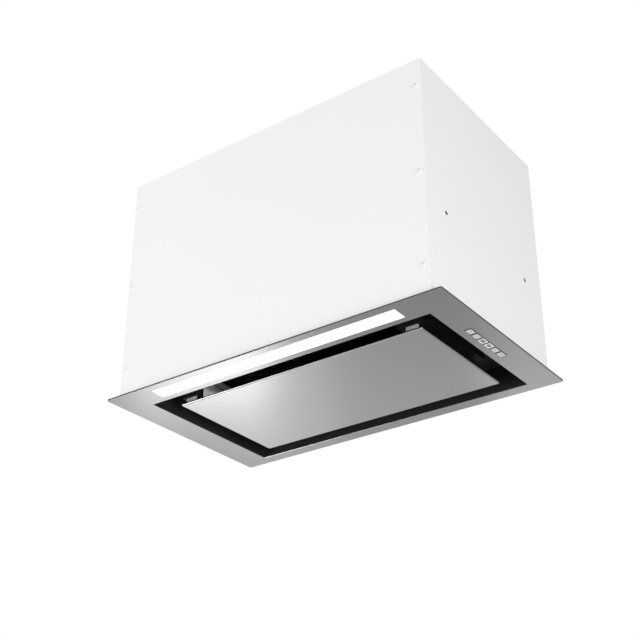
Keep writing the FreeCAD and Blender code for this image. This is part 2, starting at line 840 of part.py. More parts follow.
def make_light():
    wall = mm.light_wall
    y = (light_front, light_back)
    channel = block("channel_blank", both(light_end), y, (deck, light_top))
    bore_y = (y[0] + wall, y[1] - wall)
    hollow = block(
        "channel_hollow", both(light_end + mm.overrun), bore_y, (deck - mm.overrun, light_top - wall)
    )
    node("light_channel", cut("channel_cut", channel, hollow))
    caps = []
    for sign in (-1, 1):
        cap_x = facing(sign, light_end, light_end + mm.end_cap)
        caps.append(block("light_cap", cap_x, y, (deck, light_top)))
    node("light_end_caps", group("light_cap_set", caps))

    clear = mm.lens_clear
    lens = block(
        "lens_bar",
        both(light_x - clear),
        (lens_front + clear, lens_back - clear),
        (-mm.face_thickness - mm.lens_proud, deck + mm.lens_flange),
    )
    flange = block(
        "lens_rim",
        both(light_end - clear),
        (bore_y[0] + clear, bore_y[1] - clear),
        (deck, deck + mm.lens_flange),
    )
    node("light_diffuser", join("lens_joined", lens, flange))

    board_top = light_top - wall
    board_low = board_top - mm.board_thickness
    board_end = light_end - mm.end_cap
    board_y = around(light_y, mm.led_board_width / 2)
    node("led_board", block("led_strip", both(board_end), board_y, (board_low, board_top)))
    pitch = board_end * 2 / LED_COUNT
    half = mm.led_side / 2
    chips = []
    for index in range(LED_COUNT):
        x = around(pitch * (index + 0.5) - board_end, half)
        chips.append(block("led_chip", x, around(light_y, half), (board_low - mm.led_height, board_low)))
    node("led_chips", group("led_chip_set", chips))


def make_controls():
    """Buttons ride in the faceplate's windows, and their stems enter the switches behind."""
    shoulder = deck + mm.button_flange_sheet
    switch_low = shoulder + mm.switch_lift
    switch_top = switch_low + mm.switch_height
    stem_top = switch_low + mm.stem_entry
    reach = mm.stem_entry + mm.button_travel * 2
    switches = []
    for number, middle in enumerate(button_places(), 1):
        name = f"button_{number}"
        half_width = mm.button_width / 2
        half_length = mm.button_length / 2
        cap_z = (-mm.face_thickness - mm.button_proud, shoulder)
        cap = block(f"{name}_cap", around(button_x, half_width), around(middle, half_length), cap_z)
        rim = mm.button_clear + mm.button_flange
        flange = block(
            f"{name}_flange",
            around(button_x, half_width + rim),
            around(middle, half_length + rim),
            (deck, shoulder),
        )
        stem = rod(f"{name}_stem", "Z", mm.stem_radius, button_x, middle, (deck, stem_top))
        node(name, join(f"{name}_joined", cap, flange, stem))
        half = mm.switch_side / 2
        case = block(
            "switch_case", around(button_x, half), around(middle, half), (switch_low, switch_top)
        )
        well_z = (switch_low - mm.overrun, switch_low + reach)
        well = rod("switch_well", "Z", mm.stem_radius + mm.running_clear, button_x, middle, well_z)
        switches.append(cut("switch_cut", case, well))
    node("switches", group("switch_set", switches))

    wall = mm.control_wall
    row_half = mm.button_pitch * (BUTTON_COUNT - 1) / 2 + mm.control_end
    case_y = around(mm.button_row_y, row_half)
    case_top = deck + mm.control_height
    case = block("control_case", (control_left, control_right), case_y, (deck, case_top))
    room_x = (control_left + wall, control_right - wall)
    room_y = (case_y[0] + wall, case_y[1] - wall)
    roof = case_top - wall
    room = block("control_room", room_x, room_y, (deck - mm.overrun, roof))
    board_top = switch_top + mm.board_thickness
    posts = []
    for end in (-1, 1):
        middle = mm.button_row_y + (row_half - wall - mm.post_radius * 2) * end
        posts.append(rod("board_post", "Z", mm.post_radius, button_x, middle, (board_top, roof + wall)))
    node("control_housing", join("control_joined", cut("control_cut", case, room), *posts))
    clear = mm.button_clear
    board_x = (room_x[0] + clear, room_x[1] - clear)
    board_y = (room_y[0] + clear, room_y[1] - clear)
    node("control_board", block("control_plate", board_x, board_y, (switch_top, board_top)))


def make_outlet():
    outer = mm.collar_radius
    inner = outer - mm.collar_wall
    flange = mm.collar_flange
    rest = mm.spindle_rise - mm.flap_thickness / 2 - mm.flap_rest_gap
    ledge = inner - mm.ledge_width
    body = new_body("collar_body")
    profile = sketch_on(body, "collar_profile", "XZ_Plane")
    outline(
        profile,
        [
            (inner, 0),
            (mm.collar_flange_radius, 0),
            (mm.collar_flange_radius, flange),
            (outer, flange),
            (outer, mm.collar_height),
            (inner, mm.collar_height),
            (inner, rest),
            (ledge, rest),
            (ledge, rest - mm.ledge_height),
            (inner, rest - mm.ledge_height),
        ],
    )
    turned(body, "collar_turned", profile)
    place(body, 0, outlet_y, top)
    reach = outer + mm.overrun
    bore_radius = mm.spindle_radius + mm.seat_clear
    holes = [rod("spindle_hole", "X", bore_radius, both(reach), outlet_y, spindle_z)]
    for point in collar_screw_points():
        holes.append(screw_hole("collar_hole", "Z", point, mm.screw_length))
    node("outlet_collar", cut("collar_cut", body, *holes))
    spindle_x = both(outer - mm.collar_wall / 2)
    node("flap_spindle", rod("spindle_rod", "X", mm.spindle_radius, spindle_x, outlet_y, spindle_z))
    screws = [screw("collar_screw", "Z", 1, point) for point in collar_screw_points()]
    node("collar_screws", group("collar_screw_set", screws))
    make_flap("flap_front", -1, FRONT_KNUCKLE_SHARES, inner)
    make_flap("flap_back", 1, BACK_KNUCKLE_SHARES, inner)


def from_outlet(sign, low, high):
    low_y, high_y = facing(sign, low, high)
    return (outlet_y + low_y, outlet_y + high_y)


def make_flap(name, sign, knuckle_shares, bore_radius):
    radius = bore_radius - mm.flap_clear
    z = around(spindle_z, mm.flap_thickness / 2)
    disc = rod(f"{name}_disc", "Z", radius, 0, outlet_y, z)
    far = radius + mm.overrun
    away_y = from_outlet(sign, -far, mm.flap_root)
    away = block(f"{name}_away", both(far), away_y, around(spindle_z, far))
    pieces = [cut(f"{name}_half", disc, away)]
    for low_share, high_share in knuckle_shares:
        x = (radius * low_share, radius * high_share)
        pieces.append(rod(f"{name}_knuckle", "X", mm.flap_knuckle, x, outlet_y, spindle_z))
        web_y = from_outlet(sign, as_size(0), mm.flap_root + mm.flap_thickness)
        pieces.append(block(f"{name}_web", x, web_y, z))
    spindle_radius = mm.spindle_radius + mm.running_clear
    bore = rod(f"{name}_bore", "X", spindle_radius, both(far), outlet_y, spindle_z)
    node(name, cut(f"{name}_cut", join(f"{name}_blank", *pieces), bore))


def scroll_edges(offset):
    """The scroll's outline from the mouth's front edge round to its back edge, and its two ends.

    Three quarter arcs grow by one step each, about centres that keep them tangent.
    """
    grow = mm.scroll_growth.value
    first = scroll_radius.value
    mouth = ceiling.value - blower_z.value
    x = 0.0
    centres = ((0.0, 0.0), (grow, 0.0), (grow, grow))

    def point(u, v):
        return Vector(x, blower_y.value + u, blower_z.value + v)

    corner = math.sqrt((first + offset) ** 2 - offset**2)
    edges = [Part.LineSegment(point(-offset, mouth), point(-offset, corner)).toShape()]
    start = point(-offset, corner)
    for quarter, (cu, cv) in enumerate(centres):
        radius = first + grow * quarter + offset
        middle_angle = math.radians(135 + 90 * quarter)
        end_angle = math.radians(180 + 90 * quarter)
        middle = point(cu + radius * math.cos(middle_angle), cv + radius * math.sin(middle_angle))
        end = point(cu + radius * math.cos(end_angle), cv + radius * math.sin(end_angle))
        edges.append(Part.Arc(start, middle, end).toShape())
        start = end
    finish = Vector(x, start.y, ceiling.value)
    edges.append(Part.LineSegment(start, finish).toShape())
    return edges, point(-offset, mouth), finish


def make_scroll():
    thick = mm.scroll_sheet.value
    half = blower_side.value
    inner, inner_start, inner_end = scroll_edges(0.0)
    outer, outer_start, outer_end = scroll_edges(thick)
    inner_lip = Part.LineSegment(inner_end, outer_end).toShape()
    outer_lip = Part.LineSegment(outer_start, inner_start).toShape()
    strip = Part.Wire(Part.__sortEdges__(inner + [inner_lip] + outer + [outer_lip]))
    wrap = doc.addObject("Part::Feature", "scroll_strip")
    wrap.Shape = Part.Face(strip).extrude(Vector(2 * half, 0, 0))
    wrap.Placement = Placement(Vector(-half, 0, 0), Rotation())
    node("scroll_wrap", wrap)

    mouth_edge = Part.LineSegment(outer_end, outer_start).toShape()
    face = Part.Face(Part.Wire(Part.__sortEdges__(outer + [mouth_edge])))
    sheet_in = blower_side
    sheet_out = blower_side + mm.scroll_sheet
    zero = as_size(0)
    for side, sign in SIDES:
        name = f"scroll_side_{side}"
        plate = doc.addObject("Part::Feature", f"{name}_plate")
        plate.Shape = face.extrude(Vector(thick, 0, 0))
        start = half if sign > 0 else -half - thick
        plate.Placement = Placement(Vector(start, 0, 0), Rotation())
        lip_x = facing(sign, sheet_in, sheet_out + mm.inlet_lip)
        lip_radius = mm.inlet_radius + mm.scroll_sheet
        lip = rod(f"{name}_inlet", "X", lip_radius, lip_x, blower_y, blower_z)
        ear_x = facing(sign, sheet_out, sheet_out + mm.mount_lip)
        ear_z = (ceiling - mm.scroll_sheet, ceiling)
        ear_y = around(outlet_y, scroll_reach / 2)
        ear = block(f"{name}_ear", ear_x, ear_y, ear_z)
        eye_x = facing(sign, zero, sheet_out + mm.inlet_lip + mm.overrun)
        eye = rod(f"{name}_eye", "X", mm.inlet_radius, eye_x, blower_y, blower_z)
        beside = collar_screw_points()[:2]
        holes = [screw_hole(f"{name}_hole", "Z", point, mm.screw_length) for point in beside]
        node(name, cut(f"{name}_cut", join(f"{name}_blank", plate, lip, ear), eye, *holes))


def lay_along_x(body):
    """Turn a body's own upright axis along +X, on the blower's axis."""
    body.Placement = Placement(Vector(), TURNS["X"])
    return place(body, 0, blower_y, blower_z)


def make_impeller():
    body = new_body("impeller_body")
    bore = mm.shaft_radius + mm.seat_clear
    outer = mm.impeller_radius
    blade_in = outer - mm.blade_depth
    end = blower_side - mm.impeller_side_gap
    disc = mm.impeller_disc / 2
    hub = mm.hub_length / 2
    profile = sketch_on(body, "hub_profile", "XZ_Plane")
    outline(
        profile,
        [
            (bore, -hub),
            (mm.hub_radius, -hub),
            (mm.hub_radius, -disc),
            (outer, -disc),
            (outer, disc),
            (mm.hub_radius, disc),
            (mm.hub_radius, hub),
            (bore, hub),
        ],
    )
    turned(body, "hub_and_disc", profile)
    section = sketch_on(body, "blade_section", "XY_Plane", -end)
    lean = mm.blade_depth * BLADE_LEAN_SHARE
    thick = mm.blade_sheet
    tip = outer - thick
    outline(section, [(blade_in, thick), (tip, thick + lean), (tip, thick * 2 + lean), (blade_in, thick * 2)])
    blade = feature(body, "Pad", "first_blade", section, Length=end * 2)
    doc.recompute()
    blades = body.newObject("PartDesign::PolarPattern", "blades")
    blades.Originals = [blade]
    blades.Axis = (section, ["N_Axis"])
    blades.Angle = 360
    blades.Occurrences = BLADE_COUNT
    body.Tip = blades
    doc.recompute()
    rings = sketch_on(body, "ring_profile", "XZ_Plane")
    ring_in = outer - mm.impeller_ring
    for low, high in ((-end, mm.impeller_ring - end), (end - mm.impeller_ring, end)):
        rectangle(rings, (ring_in, outer), (low, high))
    turned(body, "end_rings", rings)
    node("impeller", lay_along_x(body))


def make_motor():
    body = new_body("motor_body")
    near = mm.hub_length / 2 + mm.motor_gap
    far = blower_side + mm.scroll_sheet + mm.bush_length
    bore = mm.shaft_radius + mm.running_clear
    boss = mm.motor_boss
    profile = sketch_on(body, "motor_profile", "XZ_Plane")
    outline(
        profile,
        [
            (bore, near),
            (mm.motor_boss_radius, near),
            (mm.motor_boss_radius, near + boss),
            (mm.motor_radius, near + boss),
            (mm.motor_radius, far),
            (bore, far),
        ],
    )
    turned(body, "motor_turned", profile)
    node("motor", lay_along_x(body))
    shaft_x = (-mm.hub_length / 2 - mm.motor_boss, far - boss)
    node("motor_shaft", rod("shaft_rod", "X", mm.shaft_radius, shaft_x, blower_y, blower_z))

    arm_x = (far, far + mm.arm_sheet)
    reach = mm.bush_circle + mm.bush_radius
    half = mm.arm_width / 2
    arm_y = block("level_arm", arm_x, around(blower_y, reach), around(blower_z, half))
    arm_z = block("upright_arm", arm_x, around(blower_y, half), around(blower_z, reach))
    plate = rod("arm_plate", "X", mm.motor_radius, arm_x, blower_y, blower_z)
    node("motor_bracket", join("bracket_joined", arm_y, arm_z, plate))
    bush_x = (blower_side + mm.scroll_sheet, far)
    bushes = []
    for sign in (-1, 1):
        away = mm.bush_circle * sign
        bushes.append(rod("level_bush", "X", mm.bush_radius, bush_x, blower_y + away, blower_z))
        bushes.append(rod("upright_bush", "X", mm.bush_radius, bush_x, blower_y, blower_z + away))
    node("motor_bushes", group("bush_set", bushes))


def make_electrics():
    thick = mm.electrics_sheet
    back = -inner_x
    mouth = back + mm.electrics_depth
    y = both(mm.electrics_width / 2)
    z = (mm.electrics_floor, mm.electrics_floor + mm.electrics_height)
    case = block("electrics_case", (back, mouth), y, z)
    room_y = (y[0] + thick, y[1] - thick)
    room_z = (z[0] + thick, z[1] - thick)
    room = block("electrics_room", (back + thick, mouth + mm.overrun), room_y, room_z)
    board_back = back + thick + mm.standoff
    board_face = board_back + mm.board_thickness
    clear = mm.electrics_clear
    board_y = (room_y[0] + clear, room_y[1] - clear)
    board_z = (room_z[0] + clear, room_z[1] - clear)
    posts = []
    for post_y in (board_y[0] + clear, board_y[1] - clear):
        for post_z in (board_z[0] + clear, board_z[1] - clear):
            posts.append(rod("board_standoff", "X", mm.post_radius, (back, board_back), post_y, post_z))
    node("electrics_box", join("electrics_joined", cut("electrics_cut", case, room), *posts))
    node("electrics_lid", block("electrics_cover", (mouth, mouth + thick), y, z))
    node("power_board", block("power_plate", (board_back, board_face), board_y, board_z))
    middle_z = (z[0] + z[1]) / 2
    capacitor_y = (board_y[0] + clear, board_y[0] + clear + mm.capacitor_length)
    can_x = board_face + mm.capacitor_radius
    can = rod("capacitor_can", "Y", mm.capacitor_radius, can_x, capacitor_y, middle_z)
    foot = block(
        "capacitor_foot",
        (board_face, can_x),
        capacitor_y,
        around(middle_z, mm.capacitor_radius / 2),
    )
    node("capacitor", join("capacitor_joined", can, foot))
    terminal_y = (board_y[1] - clear - mm.terminal_side, board_y[1] - clear)
    node(
        "terminal_block",
        block(
            "terminal_bar",
            (board_face, board_face + mm.terminal_side),
            terminal_y,
            around(middle_z, mm.terminal_length / 2),
        ),
    )


def make_gland():
    body = new_body("gland_body")
    profile = sketch_on(body, "gland_profile", "XZ_Plane")
    flange = mm.gland_flange_height
    outline(
        profile,
        [
            (mm.gland_bore, -mm.gland_length),
            (mm.gland_barrel, -mm.gland_length),
            (mm.gland_barrel, 0),
            (mm.gland_flange, 0),
            (mm.gland_flange, flange),
            (mm.gland_barrel, flange * 2),
            (mm.gland_bore, flange * 2),
        ],
    )
    turned(body, "gland_turned", profile)
    gland_x, gland_y = gland_place()
    node("cable_gland", place(body, gland_x, gland_y, top))


def check_everything():
    for item in doc.Objects:
        if "Invalid" in item.State or "Error" in item.State:
            raise RuntimeError(f"{item.Name} ({item.Label}) is {item.State}")
    for item in nodes:
        shape = item.Shape
        if shape.isNull() or not shape.isValid() or not shape.Solids:
            raise RuntimeError(f"{item.Label} has no valid solid")


def write_parts():
    os.makedirs("parts", exist_ok=True)
    for item in nodes:
        item.Shape.exportStep(f"parts/{item.Label}.step")


make_faceplate()
make_casing()
make_tray()
make_panel()
make_filter()
make_light()
make_controls()
make_outlet()
make_scroll()
make_impeller()
make_motor()
make_electrics()
make_gland()
doc.recompute()
check_everything()
write_parts()
print(len(nodes), "sub-parts written")
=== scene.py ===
import json
import math

import bmesh
import bpy
from mathutils import Matrix, Vector


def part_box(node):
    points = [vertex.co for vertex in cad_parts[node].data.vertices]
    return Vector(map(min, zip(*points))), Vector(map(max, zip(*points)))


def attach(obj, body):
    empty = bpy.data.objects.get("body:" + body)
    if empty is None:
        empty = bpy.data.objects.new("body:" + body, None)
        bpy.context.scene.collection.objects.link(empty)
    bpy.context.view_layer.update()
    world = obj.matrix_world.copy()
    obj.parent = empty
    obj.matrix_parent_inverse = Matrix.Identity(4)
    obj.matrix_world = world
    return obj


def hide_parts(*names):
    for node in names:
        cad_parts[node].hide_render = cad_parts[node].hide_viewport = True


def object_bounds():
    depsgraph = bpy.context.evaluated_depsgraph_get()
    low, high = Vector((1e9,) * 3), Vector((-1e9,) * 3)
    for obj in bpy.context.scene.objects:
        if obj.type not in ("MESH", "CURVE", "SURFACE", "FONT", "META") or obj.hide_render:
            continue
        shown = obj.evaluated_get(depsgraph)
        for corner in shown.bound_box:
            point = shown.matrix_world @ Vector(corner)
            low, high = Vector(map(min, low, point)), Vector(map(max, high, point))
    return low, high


# Finishes, moulded details and a studio for a built-in range hood with a swing-down panel.
# Metres. +X is right, -Y is the front with the light bar, +Z is up.

bl_info = {
    "name": "Built-in Hood Finishes",
    "version": (1, 0, 0),
    "blender": (4, 5, 0),
    "location": "3D View > Sidebar > Hood",
    "description": "Finishes, moulded details and a studio for a packed built-in range hood",
    "category": "Object",
}

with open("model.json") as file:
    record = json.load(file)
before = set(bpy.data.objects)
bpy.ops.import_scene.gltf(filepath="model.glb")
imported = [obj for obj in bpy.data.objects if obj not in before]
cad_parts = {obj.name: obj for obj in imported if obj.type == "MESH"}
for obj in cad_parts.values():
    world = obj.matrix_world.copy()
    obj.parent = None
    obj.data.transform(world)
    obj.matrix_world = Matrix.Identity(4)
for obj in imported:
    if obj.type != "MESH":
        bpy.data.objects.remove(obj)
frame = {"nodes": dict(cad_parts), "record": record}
CAD_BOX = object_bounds()
MIDDLE = (CAD_BOX[0] + CAD_BOX[1]) / 2
MM = 0.001
FULL_TURN = math.tau
QUARTER_TURN = math.tau / 4

# Points closer than this are one point.
SAME_PLACE = 0.001 * MM
# Points this close to a solid's lowest level belong to its lowest face.
LEVEL_SLACK = 0.1 * MM
# A sharp corner of a ring still has this radius, so that its points stay apart.
SMALLEST_CORNER = 0.02 * MM
# Places of a Mix node's colour sockets among its inputs and outputs.
MIX_FACTOR, MIX_FIRST, MIX_SECOND, MIX_RESULT = 0, 6, 7, 2

BUTTONS = tuple(f"button_{number}" for number in range(1, 7))
MESH_LAYERS = 3
RIB_COUNT = 4
GUSSET_COUNT = 12


def length_property(label, note, millimetres):
    return bpy.props.FloatProperty(
        name=label, description=note, default=millimetres * MM, unit="LENGTH", precision=5
    )


def colour_property(label, note, shade):
    return bpy.props.FloatVectorProperty(
        name=label, description=note, default=shade, subtype="COLOR", size=3, min=0.0, max=1.0
    )


def place_property(label, note, where):
    return bpy.props.FloatVectorProperty(
        name=label, description=note, default=where, subtype="TRANSLATION", unit="LENGTH", size=3
    )


def angle_property(label, note, degrees):
    return bpy.props.FloatProperty(
        name=label, description=note, default=math.radians(degrees), subtype="ANGLE"
    )


def power_property(label, note, watts):
    return bpy.props.FloatProperty(name=label, description=note, default=watts, unit="POWER")


def strength_property(label, note, strength):
    return bpy.props.FloatProperty(name=label, description=note, default=strength, min=0.0)


class HoodColours(bpy.types.PropertyGroup):
    """Colours of the hood's finishes."""

    # The faceplate and the panel are the same stainless; the panel's lighter colour is painted light for
    # the brighter reflection it shows.
    faceplate: colour_property("Faceplate", "Brushed stainless faceplate", (0.44, 0.44, 0.438))
    panel: colour_property("Panel", "Brushed stainless suction panel", (0.54, 0.54, 0.537))
    # Painted shade: the fold's darker tone stands in for the dark reflection along the panel's edge.
    fold: colour_property("Fold", "Painted shade on the fold round the suction panel", (0.28, 0.28, 0.28))
    # Painted shade: a dark colour for the faceplate's upright outer edge stands in for the shade along it.
    edge_shade: colour_property("Edge shade", "Painted shade on the faceplate's outer edge", (0.03, 0.03, 0.03))
    casing: colour_property("Casing", "Pale coated sheet of the casing", (0.88, 0.88, 0.88))
    black_coat: colour_property("Black coat", "Powder coat of the recess", (0.014, 0.014, 0.015))
    zinc: colour_property("Zinc", "Galvanised sheet", (0.80, 0.81, 0.82))
    aluminium: colour_property("Aluminium", "Filter frame and light channel", (0.60, 0.61, 0.62))
    # Painted shade: the mesh's near-black colour stands in for the shade deep in the recess.
    strand: colour_property("Strand", "Expanded mesh of the filter", (0.022, 0.022, 0.024))
    plated: colour_property("Plated steel", "Screws, pins and shafts", (0.56, 0.56, 0.55))
    black_plastic: colour_property("Black plastic", "Collar, catches and latch", (0.014, 0.014, 0.015))
    grey_plastic: colour_property("Grey plastic", "Blower housing and wheel", (0.26, 0.27, 0.28))
    white_plastic: colour_property("White plastic", "Small white mouldings", (0.80, 0.80, 0.79))
    lens: colour_property("Lens", "Frosted lens of the light bar", (0.95, 0.95, 0.94))
    button_face: colour_property("Button face", "Light face of a button", (0.76, 0.76, 0.75))
    button_rim: colour_property("Button rim", "Dark rim of a button", (0.16, 0.16, 0.16))
    button_mark: colour_property("Button mark", "Printed mark on a button", (0.30, 0.30, 0.30))
    button_ring: colour_property("Button ring", "Lit ring of a button", (0.97, 0.97, 0.97))
    board: colour_property("Board", "Solder mask of the circuit boards", (0.03, 0.16, 0.06))
    diode: colour_property("Diode", "Phosphor of the light diodes", (0.90, 0.80, 0.35))
    rubber: colour_property("Rubber", "Motor bushes", (0.02, 0.02, 0.02))
    ferrite: colour_property("Ferrite", "Magnets of the catches", (0.06, 0.06, 0.06))
    floor: colour_property("Floor", "Studio floor", (0.74, 0.74, 0.74))


class HoodSizes(bpy.types.PropertyGroup):
    """Sizes of the pieces that are dressed with finer shapes."""

    sheet_edge: length_property("Sheet edge", "Rounding of the faceplate's cut edges", 0.6)
    # Width of the band round the faceplate's rim where the edge shade is painted.
    edge_shade_band: length_property("Edge shade band", "Width of the outer band where the edge shade is painted", 4.0)
    lens_edge: length_property("Lens edge", "Rounding of the lens's lower edge", 0.5)
    lens_corner: length_property("Lens corner", "Rounding of the lens in plan", 1.2)
    lens_fade: length_property("Lens fade", "Width of the lens's dimmer border", 4.0)
    cap_corner: length_property("Button corner", "Rounding of a button in plan", 1.3)
    cap_rim: length_property("Button rim", "Width of the rim round a button's face", 0.55)
    cap_edge: length_property("Button edge", "Rounding of a button's edge", 0.2)
    cap_gap: length_property("Button gap", "Gap between a button's pieces", 0.05)
    ring_rim: length_property("Lit button rim", "Width of the rim round a lit button's ring", 0.3)
    ring_width: length_property("Button ring", "Width of a lit button's ring", 1.0)
    button_flange: length_property("Button flange", "Thickness of a button's flange", 1.0)
    stem_radius: length_property("Button stem", "Radius of a button's stem", 1.9)
    stem_root: length_property("Stem root", "How far a stem is sunk into its flange", 0.1)
    mark_size: length_property("Mark size", "Length of the mark on a button", 4.0)
    mark_line: length_property("Mark line", "Line width of the mark on a button", 1.2)
    mark_proud: length_property("Mark proud", "How far a mark stands above its face", 0.04)
    mesh_long: length_property("Mesh long way", "Length of one opening of the expanded mesh", 9.0)
    mesh_short: length_property("Mesh short way", "Height of one opening of the expanded mesh", 5.0)
    mesh_strand: length_property("Mesh strand", "Width of a strand of the mesh", 0.9)
    mesh_sheet: length_property("Mesh sheet", "Thickness of a strand of the mesh", 0.5)
    latch_clear: length_property("Latch clearance", "Room in the mesh round the latch", 1.5)
    rib_width: length_property("Rib width", "Width of a finger rib on the latch", 1.4)
    rib_rise: length_property("Rib rise", "Height of a finger rib", 0.7)
    rib_edge: length_property("Rib edge", "Rounding of a finger rib's edge", 0.4)
    rib_root: length_property("Rib root", "How far a rib is sunk into the latch", 0.2)
    rib_start: length_property("Rib start", "Distance of the first rib from the latch's end", 2.0)
    rib_pitch: length_property("Rib pitch", "Distance from one rib to the next", 2.2)
    rib_margin: length_property("Rib margin", "Distance of a rib's ends from the latch's sides", 3.0)
    head_radius: length_property("Screw head", "Radius of a screw's head", 3.5)
    head_height: length_property("Screw head height", "Height of a screw's head", 1.8)
    shank_radius: length_property("Screw shank", "Radius of a screw's shank", 1.9)
    recess_width: length_property("Screw recess", "Width of a slot of the screws' cross recess", 1.0)
    recess_reach: length_property("Screw recess reach", "Half length of a slot of the cross recess", 2.0)
    recess_depth: length_property("Screw recess depth", "Depth of the cross recess", 1.1)
    collar_flange: length_property("Collar flange", "Thickness of the collar's flange", 2.5)
    gusset_sheet: length_property("Gusset", "Thickness of the collar's gussets", 2.0)
    gusset_rise: length_property("Gusset rise", "Height of the collar's gussets", 12.0)


class HoodStage(bpy.types.PropertyGroup):
    """Camera and light of the studio. Each power has the name of its lamp."""

    camera_place: place_property("Camera place", "Where the camera stands", (0.840, -1.172, -0.665))
    camera_rise: angle_property("Camera rise", "How far the camera looks up", 28.07)
    camera_turn: angle_property("Camera turn", "How far the camera looks left of straight ahead", 36.22)
    camera_lens: bpy.props.FloatProperty(
        name="Lens", description="Focal length for the sensor's width", default=67.9, unit="CAMERA"
    )
    camera_sensor: bpy.props.FloatProperty(
        name="Sensor", description="Width of the camera's sensor", default=36.0, unit="CAMERA"
    )
    floor_level: length_property("Floor level", "Height of the floor", -1550.0)
    floor_radius: length_property("Floor radius", "Radius of the floor", 12000.0)
    floor_sheet: length_property("Floor sheet", "Thickness of the floor", 50.0)
    sky_light: strength_property("Sky light", "Strength of the even light from all round", 0.45)
    lens_glow: strength_property("Lens glow", "Brightness of the lit light bar", 0.85)
    ring_glow: strength_property("Ring glow", "Brightness of the lit rings of the buttons", 0.35)
    front_softbox: power_property("Front softbox", "Power of the softbox in front", 20.9)
    side_softbox: power_property("Side softbox", "Power of the low softbox on the right", 25.6)
    key_light: power_property("Key light", "Power of the low lamp on the left that lights the recess", 14.0)
    front_glow: power_property("Front glow", "Power of the glow mirrored beside the light bar", 1.32)
    edge_glow: power_property("Edge glow", "Power of the glow mirrored in the panel's left edge", 0.18)
    spot_glow: power_property("Spot glow", "Power of the glow mirrored in the panel's bright spot", 0.23)
    centre_glow: power_property("Centre glow", "Power of the glow mirrored in the panel's middle", 0.12)
    right_glow: power_property("Right glow", "Power of the glow mirrored in the right strip", 0.30)


class Value:
    """A number that varies over a surface. Sums and products of values add the Math nodes they need."""

    def __init__(self, finish, socket):
        self.finish = finish
        self.socket = socket

    def worked(self, operation, first, second):
        return self.finish.node("ShaderNodeMath", {"operation": operation}, {0: first, 1: second})

    def __add__(self, other):
        return self.worked("ADD", self, other)

    __radd__ = __add__

    def __sub__(self, other):
        return self.worked("SUBTRACT", self, other)

    def __rsub__(self, other):
        return self.worked("SUBTRACT", other, self)

    def __mul__(self, other):
        return self.worked("MULTIPLY", self, other)

    __rmul__ = __mul__

    def __pow__(self, other):
        return self.worked("POWER", self, other)

    def __abs__(self):
        return self.worked("ABSOLUTE", self, 0.0)

    def above(self, level):
        """1 where the number is above a level, 0 elsewhere."""
        return self.worked("GREATER_THAN", self, level)

    def larger(self, other):
        return self.worked("MAXIMUM", self, other)


class Finish:
    """One procedural finish, made of nodes in a tree."""

    def __init__(self, name, tree=None):
        if tree is None:
            self.material = bpy.data.materials.new(name)
            self.material.use_nodes = True
            tree = self.material.node_tree
        self.tree = tree
        self.tree.nodes.clear()

    def node(self, kind, settings, sockets, output=0):
        """Add a node: its settings come first, then the values or links of its sockets."""
        made = self.tree.nodes.new(kind)
        for name, setting in settings.items():
            setattr(made, name, setting)
        for name, entry in sockets.items():
            if isinstance(entry, Value):
                self.tree.links.new(entry.socket, made.inputs[name])
            else:
                made.inputs[name].default_value = entry
        return Value(self, made.outputs[output]) if made.outputs else None

    def stretched(self, cells):
        """A place on the piece, measured in cells of a pattern along each axis."""
        place = self.node("ShaderNodeTexCoord", {}, {}, "Object")
        return self.node("ShaderNodeVectorMath", {"operation": "MULTIPLY"}, {0: place, 1: cells})

    def noise(self, cells, detail=3.0):
        sockets = {"Vector": self.stretched(cells), "Scale": 1.0, "Detail": detail, "Roughness": 0.6}
        return self.node("ShaderNodeTexNoise", {}, sockets)

    def crystals(self, cells):
        """A random number for each cell of a crystal pattern."""
        sockets = {"Vector": self.stretched(cells), "Scale": 1.0}
        cell = self.node("ShaderNodeTexVoronoi", {}, sockets, "Color")
        return self.node("ShaderNodeSeparateColor", {}, {"Color": cell})

    def side(self):
        """1 where the piece's own surface stands upright, 0 where it lies flat."""
        normal = self.node("ShaderNodeTexCoord", {}, {}, "Normal")
        upward = self.node("ShaderNodeSeparateXYZ", {}, {"Vector": normal}, "Z")
        return 1 - upward * upward

    def near_rim(self, low, high, width):
        """1 at the rim of a plate with the given corners, falling to 0 over a width, seen in plan."""
        place = self.node("ShaderNodeTexCoord", {}, {}, "Object")
        across, along = (self.node("ShaderNodeSeparateXYZ", {}, {"Vector": place}, axis) for axis in "XY")
        centre, half = (low + high) / 2, (high - low) / 2
        outward = (abs(across - centre.x) - half.x).larger(abs(along - centre.y) - half.y)
        return (1 + outward * (1 / width)).larger(0.0)

    def blend(self, first, second, factor):
        sockets = {MIX_FACTOR: factor, MIX_FIRST: first, MIX_SECOND: second}
        return self.node("ShaderNodeMix", {"data_type": "RGBA"}, sockets, MIX_RESULT)

    def varied(self, colour, darkest, lightest, factor):
        """A colour that varies between two shares of itself."""
        return self.blend(shaded(colour, darkest), shaded(colour, lightest), factor)

    def surface(self, colour, roughness, height, depth, others):
        """Close the finish with a Principled shader, a fine relief of the given depth and other sockets."""
        relief = self.node("ShaderNodeBump", {}, {"Strength": 1.0, "Distance": depth, "Height": height})
        sockets = {"Base Color": colour, "Roughness": roughness, "Normal": relief, **others}
        shader = self.node("ShaderNodeBsdfPrincipled", {}, sockets)
        self.node("ShaderNodeOutputMaterial", {}, {"Surface": shader})
        return self.material


def shaded(colour, share):
    """A colour as a node takes it, darkened or lightened."""
    return tuple(min(part * share, 1.0) for part in colour) + (1.0,)


def even(cells):
    """As many cells of a pattern per metre along each axis."""
    return (cells,) * 3


